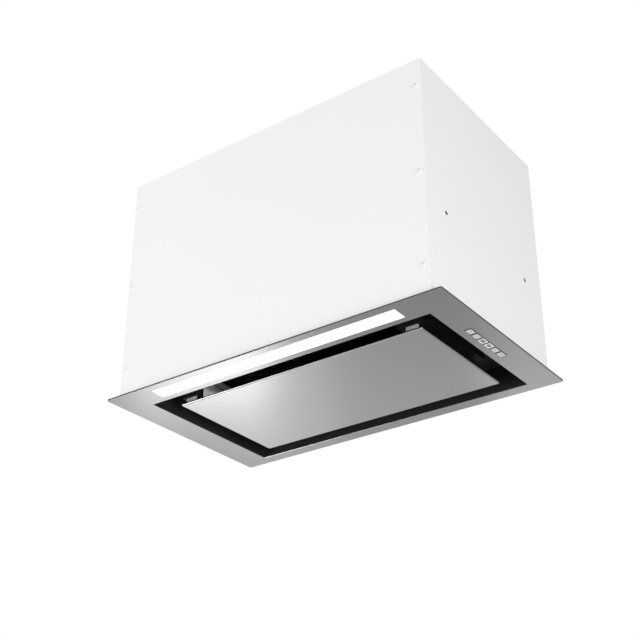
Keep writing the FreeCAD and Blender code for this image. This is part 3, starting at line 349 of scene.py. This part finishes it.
# Cells per metre of the brush marks, which are long in X, of the pools of light in a lit lens and of
# the broad patches of a finish.
SHEET_BRUSHING = (6.0, 520.0, 520.0)
FRAME_BRUSHING = (14.0, 1100.0, 1100.0)
LIGHT_POOLS = (60.0, 25.0, 25.0)
POLISH_PATCHES = 7.0
COAT_PATCHES = 11.0
# Depths of the relief of brush marks, of zinc crystals and of other fine grain.
BRUSH_RELIEF = 0.0008 * MM
CRYSTAL_RELIEF = 0.006 * MM
FINE_RELIEF = 0.01 * MM
# How sharply the painted edge shade sets in where the surface turns upright.
EDGE_SHARPNESS = 3
# How bright a lit lens is at its border.
BORDER_SHARE = 0.35

# Paints, powders and mouldings: roughness, cells per metre of the grain, its depth in millimetres,
# how much the tone varies, and gloss.
COATS = {
    "casing_paint": (0.50, 900.0, 0.01, 0.01, 0.50),
    "black_powder_coat": (0.46, 1500.0, 0.02, 0.15, 0.65),
    "black_moulding": (0.50, 2400.0, 0.02, 0.12, 0.20),
    "grey_moulding": (0.48, 2400.0, 0.02, 0.06, 0.50),
    "white_moulding": (0.45, 2400.0, 0.02, 0.03, 0.50),
    "button_face": (0.38, 3000.0, 0.01, 0.03, 0.50),
    "button_rim": (0.45, 3000.0, 0.01, 0.08, 0.50),
    "button_mark": (0.55, 3000.0, 0.01, 0.08, 0.50),
    "bush_rubber": (0.72, 1200.0, 0.04, 0.20, 0.50),
    "ferrite": (0.55, 1600.0, 0.03, 0.20, 0.50),
    "studio_floor": (0.80, 40.0, 0.05, 0.01, 0.50),
}


def brushed(name, colour, roughness, marks, edge=None, plate=None):
    """Metal with fine brush marks and a slightly uneven polish.

    An upright edge is given the edge colour as painted shade, on a plate with the given corners only round
    the outer rim.
    """
    finish = Finish(name)
    streaks = finish.noise(marks)
    polish = finish.noise(even(POLISH_PATCHES), detail=2.0)
    tone = finish.varied(colour, 0.95, 1.05, streaks * 0.7 + polish * 0.3)
    # Painted shade: the edge colour darkens upright faces in place of the shade and dark reflection along
    # the edge.
    if edge is not None:
        edge_shade_mask = finish.side() ** EDGE_SHARPNESS
        if plate is not None:
            edge_shade_mask = edge_shade_mask * finish.near_rim(*plate, bpy.context.scene.hood_sizes.edge_shade_band).above(0.0)
        tone = finish.blend(tone, shaded(edge, 1.0), edge_shade_mask)
    rough = streaks * 0.03 + polish * 0.03 + (roughness - 0.03)
    return finish.surface(tone, rough, streaks, BRUSH_RELIEF, {"Metallic": 1.0})


# The fold colour on the panel's upright edges is painted shade.
def panel_steel(colours):
    return brushed("panel_steel", colours.panel, roughness=0.25, marks=SHEET_BRUSHING, edge=colours.fold)


# The dark colour of the faceplate's upright outer edge is painted shade.
def faceplate_steel(colours):
    return brushed(
        "faceplate_steel",
        colours.faceplate,
        roughness=0.25,
        marks=SHEET_BRUSHING,
        edge=colours.edge_shade,
        plate=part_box("faceplate"),
    )


def satin_aluminium(colours):
    return brushed("satin_aluminium", colours.aluminium, roughness=0.38, marks=FRAME_BRUSHING)


def plated_steel(colours):
    return brushed("plated_steel", colours.plated, roughness=0.30, marks=even(900.0))


# The filter mesh's near-black colour is painted shade.
def mesh_metal(colours):
    return brushed("mesh_metal", colours.strand, roughness=0.40, marks=even(700.0))


def galvanised(colours):
    """Zinc-coated sheet with its flat crystals, each with its own tone and gloss."""
    finish = Finish("galvanised_sheet")
    crystal = finish.crystals(even(140.0))
    small = finish.noise(even(900.0))
    tone = finish.varied(colours.zinc, 0.78, 1.18, crystal * 0.8 + small * 0.2)
    rough = crystal * 0.16 + small * 0.08 + 0.30
    return finish.surface(tone, rough, small, CRYSTAL_RELIEF, {"Metallic": 0.25})


def coated(name, colour):
    """A coat of paint or powder, or the fine grain of a moulding."""
    roughness, grain, depth, variation, gloss = COATS[name]
    finish = Finish(name)
    peel = finish.noise(even(grain), detail=2.0)
    broad = finish.noise(even(COAT_PATCHES), detail=2.0)
    tone = finish.varied(colour, 1.0 - variation, 1.0 + variation, broad)
    rough = peel * 0.10 + broad * 0.06 + (roughness - 0.08)
    return finish.surface(tone, rough, peel, depth * MM, {"Specular IOR Level": gloss})


def casing_paint(colours):
    return coated("casing_paint", colours.casing)


def black_coat(colours):
    return coated("black_powder_coat", colours.black_coat)


def black_moulding(colours):
    return coated("black_moulding", colours.black_plastic)


def grey_moulding(colours):
    return coated("grey_moulding", colours.grey_plastic)


def white_moulding(colours):
    return coated("white_moulding", colours.white_plastic)


def button_face(colours):
    return coated("button_face", colours.button_face)


def button_rim(colours):
    return coated("button_rim", colours.button_rim)


def button_mark(colours):
    return coated("button_mark", colours.button_mark)


def bush_rubber(colours):
    return coated("bush_rubber", colours.rubber)


def ferrite(colours):
    return coated("ferrite", colours.ferrite)


def studio_floor(colours):
    return coated("studio_floor", colours.floor)


def solder_mask(colours):
    """A circuit board: solder mask with faint copper tracks under it."""
    finish = Finish("solder_mask")
    tracks = finish.crystals(even(260.0))
    grain = finish.noise(even(1800.0))
    tone = finish.varied(colours.board, 0.8, 1.5, tracks)
    return finish.surface(tone, grain * 0.1 + 0.28, grain, FINE_RELIEF, {})


def diode_phosphor(colours):
    finish = Finish("diode_phosphor")
    grain = finish.noise(even(5000.0))
    tone = finish.varied(colours.diode, 0.85, 1.1, grain)
    return finish.surface(tone, grain * 0.1 + 0.4, grain, FINE_RELIEF, {})


def lit_plastic(name, colour, glow, window=None):
    """Frosted plastic lit from behind, a little uneven where the light sources stand.

    A lens in a window with the given corners is dimmer towards its edge.
    """
    finish = Finish(name)
    frost = finish.noise(even(2600.0))
    pools = finish.noise(LIGHT_POOLS, detail=1.0)
    tone = finish.varied(colour, 0.97, 1.02, frost)
    light = finish.varied(colour, 0.96, 1.04, pools)
    if window is not None:
        border = finish.near_rim(*window, bpy.context.scene.hood_sizes.lens_fade)
        light = finish.blend(light, shaded(colour, BORDER_SHARE), border ** 2)
    glowing = {"Emission Color": light, "Emission Strength": glow}
    return finish.surface(tone, frost * 0.1 + 0.4, frost, FINE_RELIEF, glowing)


def lit_lens(colours):
    glow = bpy.context.scene.hood_stage.lens_glow
    return lit_plastic("lit_lens", colours.lens, glow, lowest_face("light_diffuser"))


def lit_ring(colours):
    return lit_plastic("lit_ring", colours.button_ring, bpy.context.scene.hood_stage.ring_glow)


FINISHERS = {
    "stainless": panel_steel,
    "casing_paint": casing_paint,
    "black_steel": black_coat,
    "galvanised": galvanised,
    "aluminium": satin_aluminium,
    "mesh": mesh_metal,
    "steel": plated_steel,
    "black_plastic": black_moulding,
    "grey_plastic": grey_moulding,
    "white_plastic": white_moulding,
    "diffuser": lit_lens,
    "button": button_face,
    "board": solder_mask,
    "led": diode_phosphor,
    "rubber": bush_rubber,
    "magnet": ferrite,
}
finishes = {}


def finish_of(maker):
    """The material that a finisher makes, made once."""
    if maker not in finishes:
        finishes[maker] = maker(bpy.context.scene.hood_colours)
    return finishes[maker]


def corners_of(points):
    """The lowest and the highest corner of the box round points."""
    low = Vector([min(point[axis] for point in points) for axis in range(3)])
    high = Vector([max(point[axis] for point in points) for axis in range(3)])
    return low, high


def half_size(low, high):
    """Half the width and half the depth of a box."""
    return (high.x - low.x) / 2, (high.y - low.y) / 2


def lowest_face(node):
    """The corners of a solid's lowest face."""
    points = [vertex.co for vertex in frame["nodes"][node].data.vertices]
    bottom = min(point.z for point in points)
    return corners_of([point for point in points if point.z < bottom + LEVEL_SLACK])


def sheet_top():
    """The upper level of the faceplate's sheet, where the lens and the buttons have their flanges."""
    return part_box("light_channel")[0].z


def add_object(name, shape):
    """Turn a bmesh into an object of the scene, with its faces turned outward."""
    bmesh.ops.recalc_face_normals(shape, faces=shape.faces)
    mesh = bpy.data.meshes.new(name)
    shape.to_mesh(mesh)
    shape.free()
    made = bpy.data.objects.new(name, mesh)
    bpy.context.scene.collection.objects.link(made)
    return made


def add_piece(name, shape, body, slot, maker, *stands_for):
    """Add a piece that rides on a body and may stand for solids, without faces that have no area."""
    bmesh.ops.dissolve_degenerate(shape, dist=SAME_PLACE, edges=shape.edges)
    piece = add_object(name, shape)
    piece.data.materials.append(finish_of(maker))
    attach(piece, body)
    if stands_for:
        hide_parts(*stands_for)


def rounded_ring(centre, half, radius, z, steps=6):
    """Points round a rectangle with rounded corners, on one level."""
    radius = max(radius, SMALLEST_CORNER)
    points = []
    corners = ((1, 1), (-1, 1), (-1, -1), (1, -1))
    for quarter, (sign_x, sign_y) in enumerate(corners):
        middle_x = centre.x + sign_x * (half[0] - radius)
        middle_y = centre.y + sign_y * (half[1] - radius)
        for step in range(steps + 1):
            angle = (quarter + step / steps) * QUARTER_TURN
            points.append((middle_x + radius * math.cos(angle), middle_y + radius * math.sin(angle), z))
    return points


def circle_ring(centre, radius, z, steps=24):
    turns = [FULL_TURN * step / steps for step in range(steps)]
    return [(centre.x + radius * math.cos(turn), centre.y + radius * math.sin(turn), z) for turn in turns]


def bridge(shape, first, second):
    """Faces between two rings of as many points."""
    count = len(first)
    for index in range(count):
        after = (index + 1) % count
        shape.faces.new((first[index], first[after], second[after], second[index]))


def stack(shape, rings, closed=False):
    """A skin over rings that follow each other, capped at its ends or closed into a frame."""
    loops = [[shape.verts.new(point) for point in ring] for ring in rings]
    for first, second in zip(loops, loops[1:]):
        bridge(shape, first, second)
    if closed:
        bridge(shape, loops[-1], loops[0])
    else:
        shape.faces.new(loops[0])
        shape.faces.new(loops[-1])


def eased_edge(low, edge, steps=3):
    """(inset, level) pairs round a lower edge, from the side to the face."""
    turns = [QUARTER_TURN * step / steps for step in range(steps + 1)]
    return [(edge * (1 - math.cos(turn)), low + edge * (1 - math.sin(turn))) for turn in turns]


def eased_rings(centre, half, corner, low, edge):
    """Rings round the eased lower edge of a block with rounded corners."""
    return [
        rounded_ring(centre, (half[0] - inset, half[1] - inset), corner - inset, level)
        for inset, level in eased_edge(low, edge)
    ]


def islands(shape):
    """The separate lumps of a bmesh, as sets of points."""
    left = set(shape.verts)
    lumps = []
    while left:
        edge = [left.pop()]
        lump = set(edge)
        while edge:
            point = edge.pop()
            for link in point.link_edges:
                other = link.other_vert(point)
                if other in left:
                    left.remove(other)
                    lump.add(other)
                    edge.append(other)
        lumps.append(lump)
    return lumps


class HOOD_OT_finishes(bpy.types.Operator):
    """Give every piece of the construction the finish of its material slot"""

    bl_idname = "hood.finishes"
    bl_label = "Finishes"

    def execute(self, context):
        for part in frame["record"]["subparts"]:
            node = frame["nodes"][part["node"]]
            node.data.materials.clear()
            node.data.materials.append(finish_of(FINISHERS[part["material_slot"]]))
        return {"FINISHED"}


FLAT_ANGLE = math.radians(0.5)
SHARP_ANGLE = math.radians(60)


def ease_edges(shape, width):
    """Merge a solid's facets into whole faces and round its sharp outer edges."""
    bmesh.ops.remove_doubles(shape, verts=shape.verts, dist=SAME_PLACE)
    bmesh.ops.dissolve_limit(shape, angle_limit=FLAT_ANGLE, verts=shape.verts, edges=shape.edges)
    sharp = [edge for edge in shape.edges if edge.calc_face_angle_signed(0.0) > SHARP_ANGLE]
    bmesh.ops.bevel(
        shape, geom=sharp, offset=width, segments=3, profile=0.5, affect="EDGES", clamp_overlap=True
    )


class HOOD_OT_faceplate(bpy.types.Operator):
    """Build the faceplate with eased edges round its opening and windows"""

    bl_idname = "hood.faceplate"
    bl_label = "Faceplate"

    def execute(self, context):
        shape = bmesh.new()
        shape.from_mesh(frame["nodes"]["faceplate"].data)
        ease_edges(shape, context.scene.hood_sizes.sheet_edge)
        add_piece("faceplate_eased", shape, "hood", "stainless", faceplate_steel, "faceplate")
        return {"FINISHED"}


class HOOD_OT_light_lens(bpy.types.Operator):
    """Build the frosted lens of the light bar, with its seating flange and eased edges"""

    bl_idname = "hood.light_lens"
    bl_label = "Light lens"

    def execute(self, context):
        sizes = context.scene.hood_sizes
        low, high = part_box("light_diffuser")
        centre = (low + high) / 2
        flange = half_size(low, high)
        bar = half_size(*lowest_face("light_diffuser"))
        seat = sheet_top()
        corner = sizes.lens_corner
        rings = [rounded_ring(centre, flange, corner, level) for level in (high.z, seat)]
        rings.append(rounded_ring(centre, bar, corner, seat))
        rings += eased_rings(centre, bar, corner, low.z, sizes.lens_edge)
        shape = bmesh.new()
        stack(shape, rings)
        add_piece("light_lens", shape, "hood", "diffuser", lit_lens, "light_diffuser")
        return {"FINISHED"}


SHORT_BAR_SHARE = 0.6
SHORT_BAR_TURN = math.radians(35)
TRIANGLE_SHARE = 0.4


def bar_outline(centre, length, width, turn=0.0):
    """Points round a bar with round ends, turned about its middle."""
    along = Vector((math.cos(turn), math.sin(turn)))
    points = rounded_ring(Vector((0, 0)), (length / 2, width / 2), width / 2, 0.0)
    return [
        (centre.x + x * along.x - y * along.y, centre.y + x * along.y + y * along.x) for x, y, _ in points
    ]


def plate(shape, outline, face, proud):
    """A thin plate on a face that looks down."""
    stack(shape, [[(x, y, level) for x, y in outline] for level in (face + proud, face - proud)])


def long_bar_mark(shape, centre, face, sizes):
    plate(shape, bar_outline(centre, sizes.mark_size, sizes.mark_line), face, sizes.mark_proud)


def short_bar_mark(shape, centre, face, sizes):
    outline = bar_outline(centre, sizes.mark_size * SHORT_BAR_SHARE, sizes.mark_line, SHORT_BAR_TURN)
    plate(shape, outline, face, sizes.mark_proud)


def triangle_mark(shape, centre, face, sizes):
    corners = circle_ring(centre, sizes.mark_size * TRIANGLE_SHARE, face, steps=3)
    plate(shape, [(x, y) for x, y, _ in corners], face, sizes.mark_proud)


def slot_mark(shape, centre, face, sizes):
    """A hollow bar."""
    line = sizes.mark_line / 2
    outer = bar_outline(centre, sizes.mark_size, sizes.mark_line + line)
    inner = bar_outline(centre, sizes.mark_size - 2 * line, sizes.mark_line - line)
    low, high = face - sizes.mark_proud, face + sizes.mark_proud
    rings = ((outer, low), (inner, low), (inner, high), (outer, high))
    stack(shape, [[(x, y, level) for x, y in outline] for outline, level in rings], closed=True)


# The mark of each button. The two in the middle have a lit ring instead.
MARKS = (long_bar_mark, short_bar_mark, None, None, triangle_mark, slot_mark)
# How much of an inset comes off the rounding of a button's corners.
CORNER_SHARE = 0.6


class Button:
    """The pieces of one push-button, placed by its solid."""

    def __init__(self, name, sizes):
        self.name = name
        self.sizes = sizes
        self.low, self.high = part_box(name)
        self.centre = (self.low + self.high) / 2
        self.cap = half_size(*lowest_face(name))
        self.well = self.low.z + sizes.cap_edge
        self.face = self.low.z + sizes.cap_gap

    def ring(self, inset, level):
        """Points round the cap, stepped in from its outline."""
        half = [part - inset for part in self.cap]
        return rounded_ring(self.centre, half, self.sizes.cap_corner - inset * CORNER_SHARE, level)

    def add(self, piece, shape, maker, *stands_for):
        add_piece(f"{self.name}_{piece}", shape, self.name, "button", maker, *stands_for)

    def build_rim(self, width):
        """The rim round a shallow well, the flange behind the faceplate and the stem."""
        sizes = self.sizes
        seat = sheet_top()
        shoulder = seat + sizes.button_flange
        flange = half_size(self.low, self.high)
        rings = [rounded_ring(self.centre, flange, sizes.cap_corner, level) for level in (shoulder, seat)]
        rings.append(self.ring(0.0, seat))
        rings += [self.ring(inset, level) for inset, level in eased_edge(self.low.z, sizes.cap_edge)]
        rings += [self.ring(width, self.low.z), self.ring(width, self.well)]
        stem = (shoulder - sizes.stem_root, self.high.z)
        shape = bmesh.new()
        stack(shape, rings)
        stack(shape, [circle_ring(self.centre, sizes.stem_radius, level) for level in stem])
        self.add("rim", shape, button_rim, self.name)

    def build_ring(self, outer, inner):
        """The lit ring in the well."""
        low, well = self.low.z, self.well
        section = ((outer, well), (outer, low), (inner, low), (inner, well))
        shape = bmesh.new()
        stack(shape, [self.ring(inset, level) for inset, level in section], closed=True)
        self.add("ring", shape, lit_ring)

    def build_face(self, inset, maker):
        """The face in the well, just above the level of the rim."""
        edge = self.sizes.cap_edge - 2 * self.sizes.cap_gap
        rings = [self.ring(inset, self.well)]
        rings += [self.ring(inset + step, level) for step, level in eased_edge(self.face, edge)]
        shape = bmesh.new()
        stack(shape, rings)
        self.add("face", shape, maker)

    def build_mark(self, mark):
        shape = bmesh.new()
        mark(shape, self.centre, self.face, self.sizes)
        self.add("mark", shape, button_mark)


class HOOD_OT_buttons(bpy.types.Operator):
    """Build the six push-buttons: rim, face and a plain mark, or a lit ring with a steel face"""

    bl_idname = "hood.buttons"
    bl_label = "Buttons"

    def execute(self, context):
        sizes = context.scene.hood_sizes
        for name, mark in zip(BUTTONS, MARKS):
            button = Button(name, sizes)
            if mark is None:
                button.build_rim(sizes.ring_rim)
                outer = sizes.ring_rim + sizes.cap_gap
                inner = outer + sizes.ring_width
                button.build_ring(outer, inner)
                button.build_face(inner + sizes.cap_gap, faceplate_steel)
            else:
                button.build_rim(sizes.cap_rim)
                button.build_face(sizes.cap_rim + sizes.cap_gap, button_face)
                button.build_mark(mark)
        return {"FINISHED"}


# How much coarser each layer of the mesh is than the first.
COARSER_SHARE = 0.6
# Half length of a bond between two strands, as a share of its step along the strand.
BOND_SHARE = 0.16
# How much of a strand's half width stays inside its row, so that strands lap at their bonds.
LAP_SHARE = 0.6


def latch_room(clear):
    """Where the mesh leaves room for the latch's travel: its near side in X, and both sides in Y."""
    low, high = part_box("filter_latch")
    slide = next(joint for joint in frame["record"]["behaviour"]["joints"] if joint["child"] == "latch")
    travel = slide["range_m"][1]
    return low.x - travel - clear, low.y - clear, high.y + clear


def strand(shape, points, level, width, thick, room):
    """A flat strand along points, left out where the latch has its room."""
    corners = ((-width, -thick), (width, -thick), (width, thick), (-width, thick))
    near, front, back = room
    runs = [[]]
    for x, y in points:
        if x > near and front < y < back:
            runs.append([])
        else:
            runs[-1].append([(x, y + across, level + rise) for across, rise in corners])
    for run in runs:
        if len(run) > 1:
            stack(shape, run)


def expanded_layer(shape, low, high, level, room, sizes, coarse):
    """One sheet of expanded metal: zigzag strands that meet their neighbours at every bond."""
    step_x = sizes.mesh_long / 2 * coarse
    step_y = sizes.mesh_short / 2 * coarse
    width = sizes.mesh_strand / 2
    thick = sizes.mesh_sheet / 2
    bond = step_x * BOND_SHARE
    swing = step_y / 2 - width * LAP_SHARE
    rows = int((high.y - low.y - 2 * step_y) / step_y)
    columns = int((high.x - low.x - 2 * width) / step_x)
    for row in range(rows + 1):
        middle = low.y + step_y * (row + 1)
        points = []
        for column in range(columns + 1):
            x = low.x + width + step_x * column
            y = middle + (swing if (row + column) % 2 else -swing)
            points += [(x - bond, y), (x + bond, y)]
        strand(shape, points, level, width, thick, room)


class HOOD_OT_filter_mesh(bpy.types.Operator):
    """Build the grease filter's layers of expanded mesh, clear of the latch"""

    bl_idname = "hood.filter_mesh"
    bl_label = "Filter mesh"

    def execute(self, context):
        sizes = context.scene.hood_sizes
        low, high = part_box("filter_mesh")
        room = latch_room(sizes.latch_clear)
        shape = bmesh.new()
        for layer in range(MESH_LAYERS):
            level = low.z + (high.z - low.z) * (layer + 0.5) / MESH_LAYERS
            expanded_layer(shape, low, high, level, room, sizes, 1.0 + COARSER_SHARE * layer)
        add_piece("filter_mesh_layers", shape, "hood", "mesh", mesh_metal, "filter_mesh")
        return {"FINISHED"}


class HOOD_OT_latch_grip(bpy.types.Operator):
    """Add the finger ribs on the filter's sliding latch"""

    bl_idname = "hood.latch_grip"
    bl_label = "Latch grip"

    def execute(self, context):
        sizes = context.scene.hood_sizes
        low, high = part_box("filter_latch")
        corner = sizes.rib_width / 2
        half = (corner, (high.y - low.y) / 2 - sizes.rib_margin)
        shape = bmesh.new()
        for index in range(RIB_COUNT):
            centre = Vector((low.x + sizes.rib_start + sizes.rib_pitch * index, (low.y + high.y) / 2))
            rings = [rounded_ring(centre, half, corner, low.z + sizes.rib_root)]
            rings += eased_rings(centre, half, corner, low.z - sizes.rib_rise, sizes.rib_edge)
            stack(shape, rings)
        add_piece("latch_ribs", shape, "latch", "black_plastic", black_moulding)
        return {"FINISHED"}


# Shares of a screw's sizes: its blunt tip, the dome of its head and the taper of its recess.
TIP_RADIUS_SHARE = 0.4
TIP_LENGTH_SHARE = 0.6
DOME_HEIGHT_SHARE = 0.7
DOME_TURN_SHARE = 0.82
DOME_TOP_SHARE = 0.2
DOME_STEPS = 6
RECESS_TAPER_SHARE = 0.6

SCREW_FINISHERS = {"casing_screws": casing_paint, "collar_screws": plated_steel}


def screw_places(node):
    """Where each screw of a group stands: its head's outer end and the way it points."""
    shape = bmesh.new()
    shape.from_mesh(frame["nodes"][node].data)
    bmesh.ops.remove_doubles(shape, verts=shape.verts, dist=SAME_PLACE)
    places = []
    for lump in islands(shape):
        low, high = corners_of([point.co for point in lump])
        centre = (low + high) / 2
        size = high - low
        axis = max(range(3), key=lambda index: size[index])
        out = Vector((0, 0, 0))
        out[axis] = 1.0 if centre[axis] > MIDDLE[axis] else -1.0
        tip = centre + out * size[axis] / 2
        turn = Vector((0, 0, 1)).rotation_difference(out).to_matrix().to_4x4()
        places.append(Matrix.Translation(tip) @ turn)
    shape.free()
    return places


def carved(body, tool):
    """A mesh: one bmesh less another."""
    things = [add_object("carving", shape) for shape in (body, tool)]
    cutter = things[0].modifiers.new("recess", "BOOLEAN")
    cutter.operation = "DIFFERENCE"
    cutter.object = things[1]
    cutter.use_self = True
    bpy.context.view_layer.update()
    seen = things[0].evaluated_get(bpy.context.evaluated_depsgraph_get())
    result = bpy.data.meshes.new_from_object(seen)
    for thing in things:
        bpy.data.objects.remove(thing)
    return result


def screw_pattern(sizes):
    """One pan-head screw, its head's top at the origin and its shank below."""
    low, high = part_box("collar_screws")
    length = high.z - low.z
    head, height, shank = sizes.head_radius, sizes.head_height, sizes.shank_radius
    dome = height * DOME_HEIGHT_SHARE
    axis = Vector((0, 0))
    profile = [(shank * TIP_RADIUS_SHARE, -length), (shank, shank * TIP_LENGTH_SHARE - length)]
    profile += [(shank, -height), (head, -height)]
    for step in range(DOME_STEPS):
        turn = QUARTER_TURN * step / DOME_STEPS
        profile.append((head * math.cos(turn * DOME_TURN_SHARE), dome * math.sin(turn) - dome))
    profile.append((head * DOME_TOP_SHARE, 0.0))
    body = bmesh.new()
    stack(body, [circle_ring(axis, radius, z) for radius, z in profile])
    tool = bmesh.new()
    for long_axis in (0, 1):
        half = [sizes.recess_width / 2, sizes.recess_width / 2]
        half[long_axis] = sizes.recess_reach
        tip = [part * RECESS_TAPER_SHARE for part in half]
        ends = ((tip, -sizes.recess_depth), (half, height))
        stack(tool, [rounded_ring(axis, size, 0.0, level) for size, level in ends])
    return carved(body, tool)


class HOOD_OT_screws(bpy.types.Operator):
    """Build the pan-head screws of the casing and the collar, with their cross recess"""

    bl_idname = "hood.screws"
    bl_label = "Screws"

    def execute(self, context):
        pattern = screw_pattern(context.scene.hood_sizes)
        for node, maker in SCREW_FINISHERS.items():
            shape = bmesh.new()
            for where in screw_places(node):
                screw = pattern.copy()
                screw.transform(where)
                shape.from_mesh(screw)
                bpy.data.meshes.remove(screw)
            add_piece(f"{node}_heads", shape, "hood", "steel", maker, node)
        bpy.data.meshes.remove(pattern)
        return {"FINISHED"}


# How far a gusset reaches over the collar's flange.
GUSSET_REACH_SHARE = 0.75


class HOOD_OT_collar_gussets(bpy.types.Operator):
    """Add the moulded gussets between the outlet collar's pipe and its flange"""

    bl_idname = "hood.collar_gussets"
    bl_label = "Collar gussets"

    def execute(self, context):
        sizes = context.scene.hood_sizes
        low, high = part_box("outlet_collar")
        spigot = next(mount for mount in frame["record"]["mounts"] if mount["name"] == "duct_spigot")
        pipe = spigot["dims"]["r_mm"] * MM
        centre = Vector(((low.x + high.x) / 2, (low.y + high.y) / 2, 0))
        half = sizes.gusset_sheet / 2
        end = pipe + (half_size(low, high)[0] - pipe) * GUSSET_REACH_SHARE
        seat = low.z + sizes.collar_flange
        top = seat + sizes.gusset_rise
        profile = [(pipe - half, seat - half), (end, seat - half), (end, seat + half)]
        profile += [(pipe + half, top), (pipe - half, top)]
        shape = bmesh.new()
        for index in range(GUSSET_COUNT):
            angle = FULL_TURN * (index + 0.5) / GUSSET_COUNT
            out = Vector((math.cos(angle), math.sin(angle), 0))
            side = Vector((-out.y, out.x, 0))
            rings = []
            for offset in (-half, half):
                rings.append([centre + out * r + side * offset + Vector((0, 0, z)) for r, z in profile])
            stack(shape, rings)
        add_piece("collar_gussets", shape, "hood", "black_plastic", black_moulding)
        return {"FINISHED"}


FLOOR_SIDES = 96
SEEN_RAYS = ("Is Camera Ray", "Is Glossy Ray", "Is Transmission Ray")
UNDERSIDE = Vector((0.0, 0.0, 0.0))
GLOW_LEVEL = -0.9
GLOW_WIDTH = 0.35
# Where each lamp stands, the point that it looks at and its width.
# The glows are small lamps behind and below the hood, seen only as mirrored in the steel.
LAMPS = {
    "front_softbox": ((-0.90, -2.30, 0.70), MIDDLE, 1.8),
    "side_softbox": ((2.00, -0.70, -0.70), MIDDLE, 1.0),
    "key_light": ((-1.70, -1.60, -0.90), UNDERSIDE, 0.6),
    "front_glow": ((-1.10, 0.95, GLOW_LEVEL), UNDERSIDE, GLOW_WIDTH),
    "edge_glow": ((-1.38, 0.95, GLOW_LEVEL), UNDERSIDE, GLOW_WIDTH),
    "spot_glow": ((-1.38, 1.70, GLOW_LEVEL), UNDERSIDE, GLOW_WIDTH),
    "centre_glow": ((-1.10, 1.95, GLOW_LEVEL), UNDERSIDE, GLOW_WIDTH),
    "right_glow": ((-0.60, 1.95, GLOW_LEVEL), UNDERSIDE, GLOW_WIDTH),
}


def lay_floor(stage):
    levels = (stage.floor_level, stage.floor_level - stage.floor_sheet)
    shape = bmesh.new()
    stack(shape, [circle_ring(UNDERSIDE, stage.floor_radius, level, FLOOR_SIDES) for level in levels])
    floor = add_object("studio_floor", shape)
    floor.data.materials.append(finish_of(studio_floor))


def light_sky(scene, strength):
    """White where the camera, metal and glass look at it, and a dimmer even light elsewhere."""
    scene.world = bpy.data.worlds.new("studio")
    scene.world.use_nodes = True
    sky = Finish("studio", scene.world.node_tree)
    camera, glossy, through = (sky.node("ShaderNodeLightPath", {}, {}, ray) for ray in SEEN_RAYS)
    white, even_light = (
        sky.node("ShaderNodeBackground", {}, {"Color": (1, 1, 1, 1), "Strength": level})
        for level in (1.0, strength)
    )
    sockets = {0: camera + glossy + through, 1: even_light, 2: white}
    mixed = sky.node("ShaderNodeMixShader", {}, sockets)
    sky.node("ShaderNodeOutputWorld", {}, {"Surface": mixed})


def set_lamp(scene, name, place, target, width, power):
    """A square lamp that looks at a point, and isn't itself in the picture."""
    data = bpy.data.lights.new(name, "AREA")
    data.shape = "SQUARE"
    data.size = width
    data.energy = power
    lamp = bpy.data.objects.new(name, data)
    lamp.location = place
    lamp.rotation_euler = (target - Vector(place)).to_track_quat("-Z", "Y").to_euler()
    lamp.visible_camera = False
    scene.collection.objects.link(lamp)


def set_camera(scene, stage):
    data = bpy.data.cameras.new("hood_camera")
    data.lens = stage.camera_lens
    data.sensor_width = stage.camera_sensor
    camera = bpy.data.objects.new("hood_camera", data)
    camera.location = stage.camera_place
    camera.rotation_euler = (QUARTER_TURN + stage.camera_rise, 0.0, stage.camera_turn)
    scene.collection.objects.link(camera)
    scene.camera = camera


class HOOD_OT_studio(bpy.types.Operator):
    """Set the floor, the light and the camera"""

    bl_idname = "hood.studio"
    bl_label = "Studio"

    def execute(self, context):
        stage = context.scene.hood_stage
        lay_floor(stage)
        light_sky(context.scene, stage.sky_light)
        for name, (place, target, width) in LAMPS.items():
            set_lamp(context.scene, name, place, target, width, getattr(stage, name))
        set_camera(context.scene, stage)
        context.scene.view_settings.view_transform = "Standard"
        return {"FINISHED"}


OPERATORS = (
    HOOD_OT_finishes,
    HOOD_OT_faceplate,
    HOOD_OT_light_lens,
    HOOD_OT_buttons,
    HOOD_OT_filter_mesh,
    HOOD_OT_latch_grip,
    HOOD_OT_screws,
    HOOD_OT_collar_gussets,
    HOOD_OT_studio,
)


class HOOD_PT_sidebar(bpy.types.Panel):
    """Lists the steps that dress the hood"""

    bl_idname = "HOOD_PT_sidebar"
    bl_label = "Built-in Hood"
    bl_space_type = "VIEW_3D"
    bl_region_type = "UI"
    bl_category = "Hood"

    def draw(self, context):
        for operator in OPERATORS:
            self.layout.operator(operator.bl_idname)


SETTINGS = {"hood_colours": HoodColours, "hood_sizes": HoodSizes, "hood_stage": HoodStage}


def register():
    for group in (*SETTINGS.values(), *OPERATORS, HOOD_PT_sidebar):
        bpy.utils.register_class(group)
    for name, group in SETTINGS.items():
        setattr(bpy.types.Scene, name, bpy.props.PointerProperty(type=group))


def unregister():
    for name in SETTINGS:
        delattr(bpy.types.Scene, name)
    for group in reversed((*SETTINGS.values(), *OPERATORS, HOOD_PT_sidebar)):
        bpy.utils.unregister_class(group)


def main():
    register()
    bpy.ops.hood.finishes()
    bpy.ops.hood.faceplate()
    bpy.ops.hood.light_lens()
    bpy.ops.hood.buttons()
    bpy.ops.hood.filter_mesh()
    bpy.ops.hood.latch_grip()
    bpy.ops.hood.screws()
    bpy.ops.hood.collar_gussets()
    bpy.ops.hood.studio()


if __name__ == "__main__":
    main()
